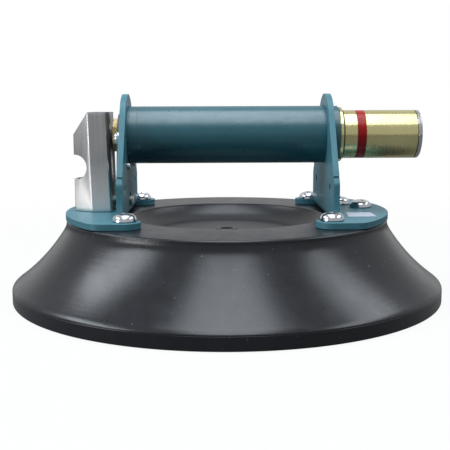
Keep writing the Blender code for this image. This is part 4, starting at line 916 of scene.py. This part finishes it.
def build_plunger():
    groove = PLUNGER_RADIUS - RED_BAND_DEPTH
    low, high = RED_BAND
    edge = 0.00012
    end = CAP_FACE - GAP
    section = [
        (PLUNGER_BORE, PLUNGER_START), (PLUNGER_RADIUS, PLUNGER_START),
        (PLUNGER_RADIUS, low - edge), (PLUNGER_RADIUS - edge, low), (groove, low), (groove, high),
        (PLUNGER_RADIUS - edge, high), (PLUNGER_RADIUS, high + edge),
        (PLUNGER_RADIUS, end - 2 * edge), (PLUNGER_RADIUS - 2 * edge, end), (PLUNGER_BORE, end),
    ]
    tube = turned("plunger_sleeve", section, FINE_ROUND, *TUBE_AXIS)
    finish(tube, PLUNGER_BRASS, "plunger_tube", "plunger")
    skin = PLUNGER_RADIUS - 0.00004
    band = turned("red_line_ring", [
        (groove + GAP, low + GAP / 2), (skin, low + GAP / 2), (skin, high - GAP / 2),
        (groove + GAP, high - GAP / 2),
    ], FINE_ROUND, *TUBE_AXIS)
    finish(band, RED, "red_line_band", "plunger")
    cap = [
        (0.0, end - CAP_PLUG), (PLUNGER_BORE - GAP, end - CAP_PLUG), (PLUNGER_BORE - GAP, CAP_FACE),
        (PLUNGER_RADIUS - edge, CAP_FACE), (PLUNGER_RADIUS, CAP_FACE + edge),
    ]
    cap.extend(arc((PLUNGER_RADIUS - CAP_ROUNDING, PLUNGER_END - CAP_ROUNDING), CAP_ROUNDING, 0, 90, 8))
    dimple = PLUNGER_END - CAP_DIMPLE / 2
    cap.extend([(PLUNGER_RADIUS - 0.0030, PLUNGER_END), (PLUNGER_RADIUS - 0.0034, dimple)])
    cap.extend([(0.0014, dimple), (0.0, PLUNGER_END - 2 * CAP_DIMPLE)])
    end_cap = turned("plunger_cap", cap, FINE_ROUND, *TUBE_AXIS)
    finish(end_cap, POLISHED_STEEL, "plunger_end_cap", "plunger", 30)


# Release valve


def hull_of_circles(circles):
    steps = 64
    cloud = []
    for first, second, radius in circles:
        cloud.extend(arc((first, second), radius, 0, 360 - 360 / steps, steps - 1))
    return [cloud[index] for index in convex_hull_2d(cloud)]


def build_valve_plate():
    spread, height = VALVE_SCREW_PLACE
    feet = [(edge * spread, height, VALVE_PLATE_FOOT_RADIUS) for edge in (-1, 1)]
    outline = hull_of_circles([(0.0, AXIS_HEIGHT, VALVE_PLATE_HEAD_RADIUS)] + feet)
    plate = prism("valve_backing_plate", outline, "X", VALVE_PLATE_FACE, VALVE_PLATE_BACK)
    middle = (VALVE_PLATE_FACE + VALVE_PLATE_BACK) / 2
    length = VALVE_PLATE_BACK - VALVE_PLATE_FACE + 2 * MARGIN
    tools = [rod("plate_bore", "X", (middle, 0.0, AXIS_HEIGHT), NECK_RADIUS + GAP, length)]
    sink = VALVE_SCREW_HEAD - VALVE_SCREW_SHANK
    profile = [
        (0.0, VALVE_PLATE_FACE - MARGIN),
        (VALVE_SCREW_HEAD + GAP + MARGIN, VALVE_PLATE_FACE - MARGIN),
        (VALVE_SCREW_SHANK + GAP, VALVE_PLATE_FACE + sink),
        (VALVE_SCREW_SHANK + GAP, VALVE_PLATE_BACK + MARGIN), (0.0, VALVE_PLATE_BACK + MARGIN),
    ]
    for edge in (-1, 1):
        tools.append(turned("screw_sink", profile, 32, "X", (0.0, edge * spread, height)))
    carve(plate, cuts(*tools), 0.0002, 40, 2)
    finish(plate, DARK_PAINT, "valve_plate", sharp=50)


def build_valve_nut():
    outline = arc((0.0, AXIS_HEIGHT), NUT_RADIUS, 30, 330, 5)
    start = VALVE_PLATE_FACE - GAP
    nut = prism("hex_nut", outline, "X", NUT_FACE, start)
    bore = NECK_RADIUS + GAP
    envelope = [
        (bore, NUT_FACE + NUT_CHAMFER), (bore + NUT_CHAMFER, NUT_FACE),
        (NUT_RADIUS - NUT_CHAMFER, NUT_FACE), (NUT_RADIUS, NUT_FACE + NUT_CHAMFER / 2),
        (NUT_RADIUS + GAP, start), (bore, start),
    ]
    turning = turned("nut_turning", envelope, ROUND, *TUBE_AXIS)
    carve(nut, [("INTERSECT", turning)], 0.00015, 30, 2)
    finish(nut, BRASS, "valve_nut")


def build_hose():
    bore, outer, low, high = HOSE
    edge = 0.0003
    section = [(bore, low), (outer - edge, low), (outer, low + edge)]
    section.extend([(outer, high - edge), (outer - edge, high), (bore, high)])
    hose = turned("rubber_hose", section, SMALL_ROUND, "Z", (PORT_X, 0.0, 0.0))
    finish(hose, HOSE_RUBBER, "air_hose")


# Lever


def stretch_open(outline, low, high):
    """Inner side view of the channel, run past its open top and bottom."""
    right_low, right_top, cut_top, cut_low, web_low = outline
    lean = (right_top[0] - right_low[0]) / (right_top[1] - right_low[1])
    slope = (cut_top[0] - cut_low[0]) / (cut_top[1] - cut_low[1])
    return [
        (right_low[0] + lean * (low - right_low[1]), low),
        (right_top[0] + lean * (high - right_top[1]), high),
        (cut_top[0] + slope * (high - cut_top[1]), high),
        cut_low,
        (web_low[0], low),
    ]


def lever_share(height):
    return (height - LEVER_LOW) / (LEVER_TOP - LEVER_LOW)


def lever_edge(height):
    return LEVER_RIGHT_LOW + (LEVER_RIGHT_TOP - LEVER_RIGHT_LOW) * lever_share(height)


def lever_section(height):
    """Sharp outline of the channel at a height: web, slanted faces, flat faces and turned-in lips."""
    share = lever_share(height)
    right = lever_edge(height)
    fold_low, fold_top = LEVER_LIP_FOLD
    fold = right - fold_low - (fold_top - fold_low) * share
    flat_end = LEVER_WEB + LEVER_CUT[0] + LEVER_FACE_TAPER * (1 - share)
    lip = LEVER_HALF_WIDTH - LEVER_LIP
    return [
        (right, -lip), (right, lip), (fold, LEVER_HALF_WIDTH), (flat_end, LEVER_HALF_WIDTH),
        (LEVER_WEB, LEVER_WEB_HALF), (LEVER_WEB, -LEVER_WEB_HALF), (flat_end, -LEVER_HALF_WIDTH),
        (fold, -LEVER_HALF_WIDTH),
    ]


def lever_skin(height):
    return rounded(lever_section(height), [0.0] * 2 + [0.0008] + [LEVER_BEND] * 4 + [0.0008], 8)


def lever_inside(height):
    bend = LEVER_BEND - LEVER_SHEET
    return rounded(inset(lever_section(height), LEVER_SHEET), [0.0] * 3 + [bend] * 4 + [0.0], 6)


def build_lever():
    cut_length, cut_height = LEVER_CUT
    side_view = [
        (LEVER_RIGHT_LOW + MARGIN, LEVER_LOW), (LEVER_RIGHT_TOP + MARGIN, LEVER_TOP),
        (LEVER_WEB + cut_length, LEVER_TOP), (LEVER_WEB, LEVER_TOP - cut_height),
        (LEVER_WEB, LEVER_LOW),
    ]
    low = LEVER_LOW - MARGIN
    high = LEVER_TOP + MARGIN
    width = LEVER_HALF_WIDTH + MARGIN
    heights = (LEVER_LOW, LEVER_LOW + MARGIN, LEVER_TOP - MARGIN, LEVER_TOP)
    lever = lofted("release_lever_channel", lever_skin, heights)
    outside = prism("lever_side", side_view, "Y", -width, width)
    hollow = lofted("lever_hollow", lever_inside, (low, high))
    inner_view = stretch_open(inset(side_view, LEVER_SHEET), low, high)
    carve(hollow, [("INTERSECT", prism("lever_inner_side", inner_view, "Y", -width, width))])
    opening = LEVER_HALF_WIDTH - LEVER_LIP + LEVER_MOUTH_EASE
    mouth_x = LEVER_RIGHT_TOP - 2 * LEVER_SHEET
    mouth_end = LEVER_RIGHT_LOW + MARGIN
    mouth_outline = [(mouth_x, low), (mouth_x, high), (mouth_end, high), (mouth_end, low)]
    mouth = prism("lever_mouth", mouth_outline, "Y", -opening, opening)
    notch_x, notch_z, notch_radius = LEVER_NOTCH
    notch = rod("finger_notch", "Y", (notch_x, 0.0, notch_z), notch_radius, 2 * width, 72)
    bridge_half = LEVER_HALF_WIDTH - LEVER_LIP + LEVER_SHEET / 3
    edge_x = lever_edge(TONGUE_LOW) - GAP
    tongue_outline = [
        (edge_x - TONGUE_BRIDGE, -bridge_half), (edge_x, -bridge_half), (edge_x, -TONGUE_HALF),
        (TONGUE_END, -TONGUE_HALF), (TONGUE_END, TONGUE_HALF), (edge_x, TONGUE_HALF),
        (edge_x, bridge_half), (edge_x - TONGUE_BRIDGE, bridge_half),
    ]
    tongue = prism("lever_tongue", tongue_outline, "Z", TONGUE_LOW, TONGUE_LOW + LEVER_SHEET)
    hook_left = TONGUE_END - HOOK_THICKNESS
    hook_top = TONGUE_LOW + LEVER_SHEET / 2
    hook_outline = rectangle(hook_left, TONGUE_END, TONGUE_LOW - HOOK_DROP, hook_top)
    hook = prism("lever_hook", hook_outline, "Y", -TONGUE_HALF, TONGUE_HALF)
    steps = [("INTERSECT", outside), *cuts(hollow, mouth, notch), ("UNION", tongue), ("UNION", hook)]
    carve(lever, steps, 0.0002, 40, 2)
    finish(lever, STEEL, "release_lever", "lever", flat_faces=False)


# Label


def build_label():
    corners = rounded(LABEL_CORNERS, 0.0008, 4)
    sticker = prism("blank_label", corners, "Z", FOOT_TOP, FOOT_TOP + LABEL_THICKNESS)
    finish(sticker, WHITE)


# Springs


def build_spring(node, ends, shape):
    """Coil spring on the tube's axis, wound from its start to its end."""
    start, end = ends
    radius, wire, turns = shape
    steps = 36
    curve = bpy.data.curves.new(node + "_path", "CURVE")
    curve.dimensions = "3D"
    curve.bevel_depth = wire
    curve.bevel_resolution = 3
    curve.use_fill_caps = True
    line = curve.splines.new("POLY")
    line.points.add(turns * steps)
    for index, point in enumerate(line.points):
        angle = 2 * math.pi * index / steps
        along = start + wire + (end - start - 2 * wire) * index / (turns * steps)
        point.co = (along, radius * math.sin(angle), AXIS_HEIGHT + radius * math.cos(angle), 1.0)
    path = bpy.data.objects.new(node + "_path", curve)
    bpy.context.collection.objects.link(path)
    depsgraph = bpy.context.evaluated_depsgraph_get()
    bm = bmesh.new()
    bm.from_mesh(path.evaluated_get(depsgraph).to_mesh())
    bmesh.ops.remove_doubles(bm, verts=bm.verts[:], dist=1e-6)
    bpy.data.objects.remove(path, do_unlink=True)
    spring = new_object(node + "_wire", bm)
    finish(spring, SPRING_STEEL, node)
    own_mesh(spring)


def build_springs():
    build_spring("return_spring", RETURN_SPRING_ENDS, RETURN_SPRING)
    build_spring("valve_spring", VALVE_SPRING_ENDS, VALVE_SPRING)


# CAD pieces that keep their shape


def finish_cad_pieces():
    looks = {
        BRASS: ["pump_head", "piston", "port_fitting"],
        # The valve body takes the valve plate's dark paint, so it shows dark beside the brass nut.
        DARK_PAINT: ["valve_body"],
        SEAL_RUBBER: ["head_seal", "check_valve", "piston_seal", "stem_seal"],
        POLISHED_STEEL: ["valve_stem"],
        FELT: ["air_filter"],
    }
    looks[BRASS].extend("pad_insert_" + label for label in screw_places())
    for material, names in looks.items():
        for name in names:
            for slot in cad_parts[name].material_slots:
                slot.material = material


# Stage


def add_area(name, place, aim, size, power, colour=(1.0, 1.0, 1.0)):
    lamp = bpy.data.lights.new(name, "AREA")
    lamp.shape = "RECTANGLE"
    lamp.size, lamp.size_y = size
    lamp.energy = power
    lamp.color = colour
    thing = bpy.data.objects.new(name, lamp)
    thing.location = place
    thing.rotation_euler = (Vector(aim) - Vector(place)).to_track_quat("-Z", "Y").to_euler()
    bpy.context.scene.collection.objects.link(thing)


def view_share(tree, camera, glossy):
    """How much of the stage's white shows to the camera, and to mirrors and glass."""
    rays = tree.nodes.new("ShaderNodeLightPath").outputs
    seen = add_node(tree, "Math", {0: rays["Is Camera Ray"], 1: camera}, operation="MULTIPLY")
    either = {0: rays["Is Glossy Ray"], 1: rays["Is Transmission Ray"]}
    bounced = add_node(tree, "Math", either, operation="MAXIMUM")
    return add_node(tree, "Math", {0: bounced, 1: glossy, 2: seen}, operation="MULTIPLY_ADD")


def stage_sheet(name, corners, camera, glossy):
    """Flat sheet of the stage: grey in the room, white paper to the camera and partly to mirrors."""
    bm = bmesh.new()
    bm.faces.new([bm.verts.new(corner) for corner in corners])
    sheet = new_object(name, bm)
    paper = bpy.data.materials.new(name + "_paper")
    paper.use_nodes = True
    tree = paper.node_tree
    tree.nodes.clear()
    grey = add_node(tree, "BsdfDiffuse", {"Color": (0.13, 0.13, 0.135, 1.0)})
    white = add_node(tree, "BsdfDiffuse", {"Color": (0.90, 0.90, 0.90, 1.0)})
    to_camera = add_node(tree, "LightPath", output="Is Camera Ray")
    lit = add_node(tree, "MixShader", {0: to_camera, 1: grey, 2: white})
    place = add_node(tree, "NewGeometry", output="Position")
    distance = add_node(tree, "VectorMath", {0: place}, "Value", operation="LENGTH")
    reach = {"Value": distance, "From Min": 0.13, "From Max": 0.60, "To Min": camera}
    far = add_node(tree, "MapRange", reach, interpolation_type="SMOOTHSTEP")
    glow = add_node(tree, "Emission")
    mix = add_node(tree, "MixShader", {0: view_share(tree, far, glossy), 1: lit, 2: glow})
    tree.links.new(mix, tree.nodes.new("ShaderNodeOutputMaterial").inputs["Surface"])
    sheet.data.materials.append(paper)


def build_stage():
    floor = [(x, y, FLOOR_HEIGHT) for x, y in rectangle(-FLOOR_HALF, FLOOR_HALF, -FLOOR_HALF, FLOOR_HALF)]
    stage_sheet("floor", floor, 0.91, 0.14)
    half, back, top = BACKDROP
    backdrop = [(x, back, z) for x, z in rectangle(-half, half, 0.0, top)]
    stage_sheet("backdrop", backdrop, 1.0, 0.68)


def build_room():
    world = bpy.data.worlds.new("studio")
    bpy.context.scene.world = world
    world.use_nodes = True
    tree = world.node_tree
    tree.nodes.clear()
    room = add_node(tree, "Background", {"Color": (0.93, 0.96, 1.0, 1.0), "Strength": 0.05})
    white = add_node(tree, "Background", {"Color": (1.0, 1.0, 1.0, 1.0)})
    mix = add_node(tree, "MixShader", {0: view_share(tree, 1.0, 0.45), 1: room, 2: white})
    tree.links.new(mix, tree.nodes.new("ShaderNodeOutputWorld").inputs["Surface"])


def add_lamps():
    target = (0.0, 0.0, 0.06)
    cool = (0.87, 0.94, 1.0)
    add_area("top_softbox", (0.0, -0.22, 1.0), (0.0, -0.16, 0.06), (0.54, 1.12), 8.4, cool)
    add_area("left_strip", (-0.85, -0.08, 0.78), target, (0.80, 0.26), 4.2, cool)
    add_area("right_strip", (0.76, 0.05, 0.80), target, (0.85, 0.25), 2.5, cool)
    add_area("left_softbox", (-0.75, -0.42, 0.11), target, (0.35, 0.20), 1.5)


def add_camera():
    data = bpy.data.cameras.new("photo_camera")
    data.sensor_width = 36.0
    data.lens = CAMERA_LENS
    data.clip_start = 0.01
    data.clip_end = 20.0
    camera = bpy.data.objects.new("photo_camera", data)
    bpy.context.scene.collection.objects.link(camera)
    pose = Matrix.Rotation(math.radians(CAMERA_SWING), 4, "Z") @ Matrix.Translation(CAMERA_PLACE)
    for axis, degrees in CAMERA_TURNS:
        pose = pose @ Matrix.Rotation(math.radians(degrees), 4, axis)
    camera.matrix_world = pose
    bpy.context.scene.camera = camera


add_camera()
build_stage()
build_room()
add_lamps()
build_pad()
build_bracket("left_plate_and_foot", -1, "left_bracket")
build_bracket("right_plate_and_foot", 1, "right_bracket")
build_foot_screws()
build_plate_screws()
build_valve_screws()
build_tube()
build_barrel()
build_plunger()
build_valve_plate()
build_valve_nut()
build_hose()
build_lever()
build_label()
build_springs()
finish_cad_pieces()

bpy.context.scene.view_settings.view_transform = "Standard"
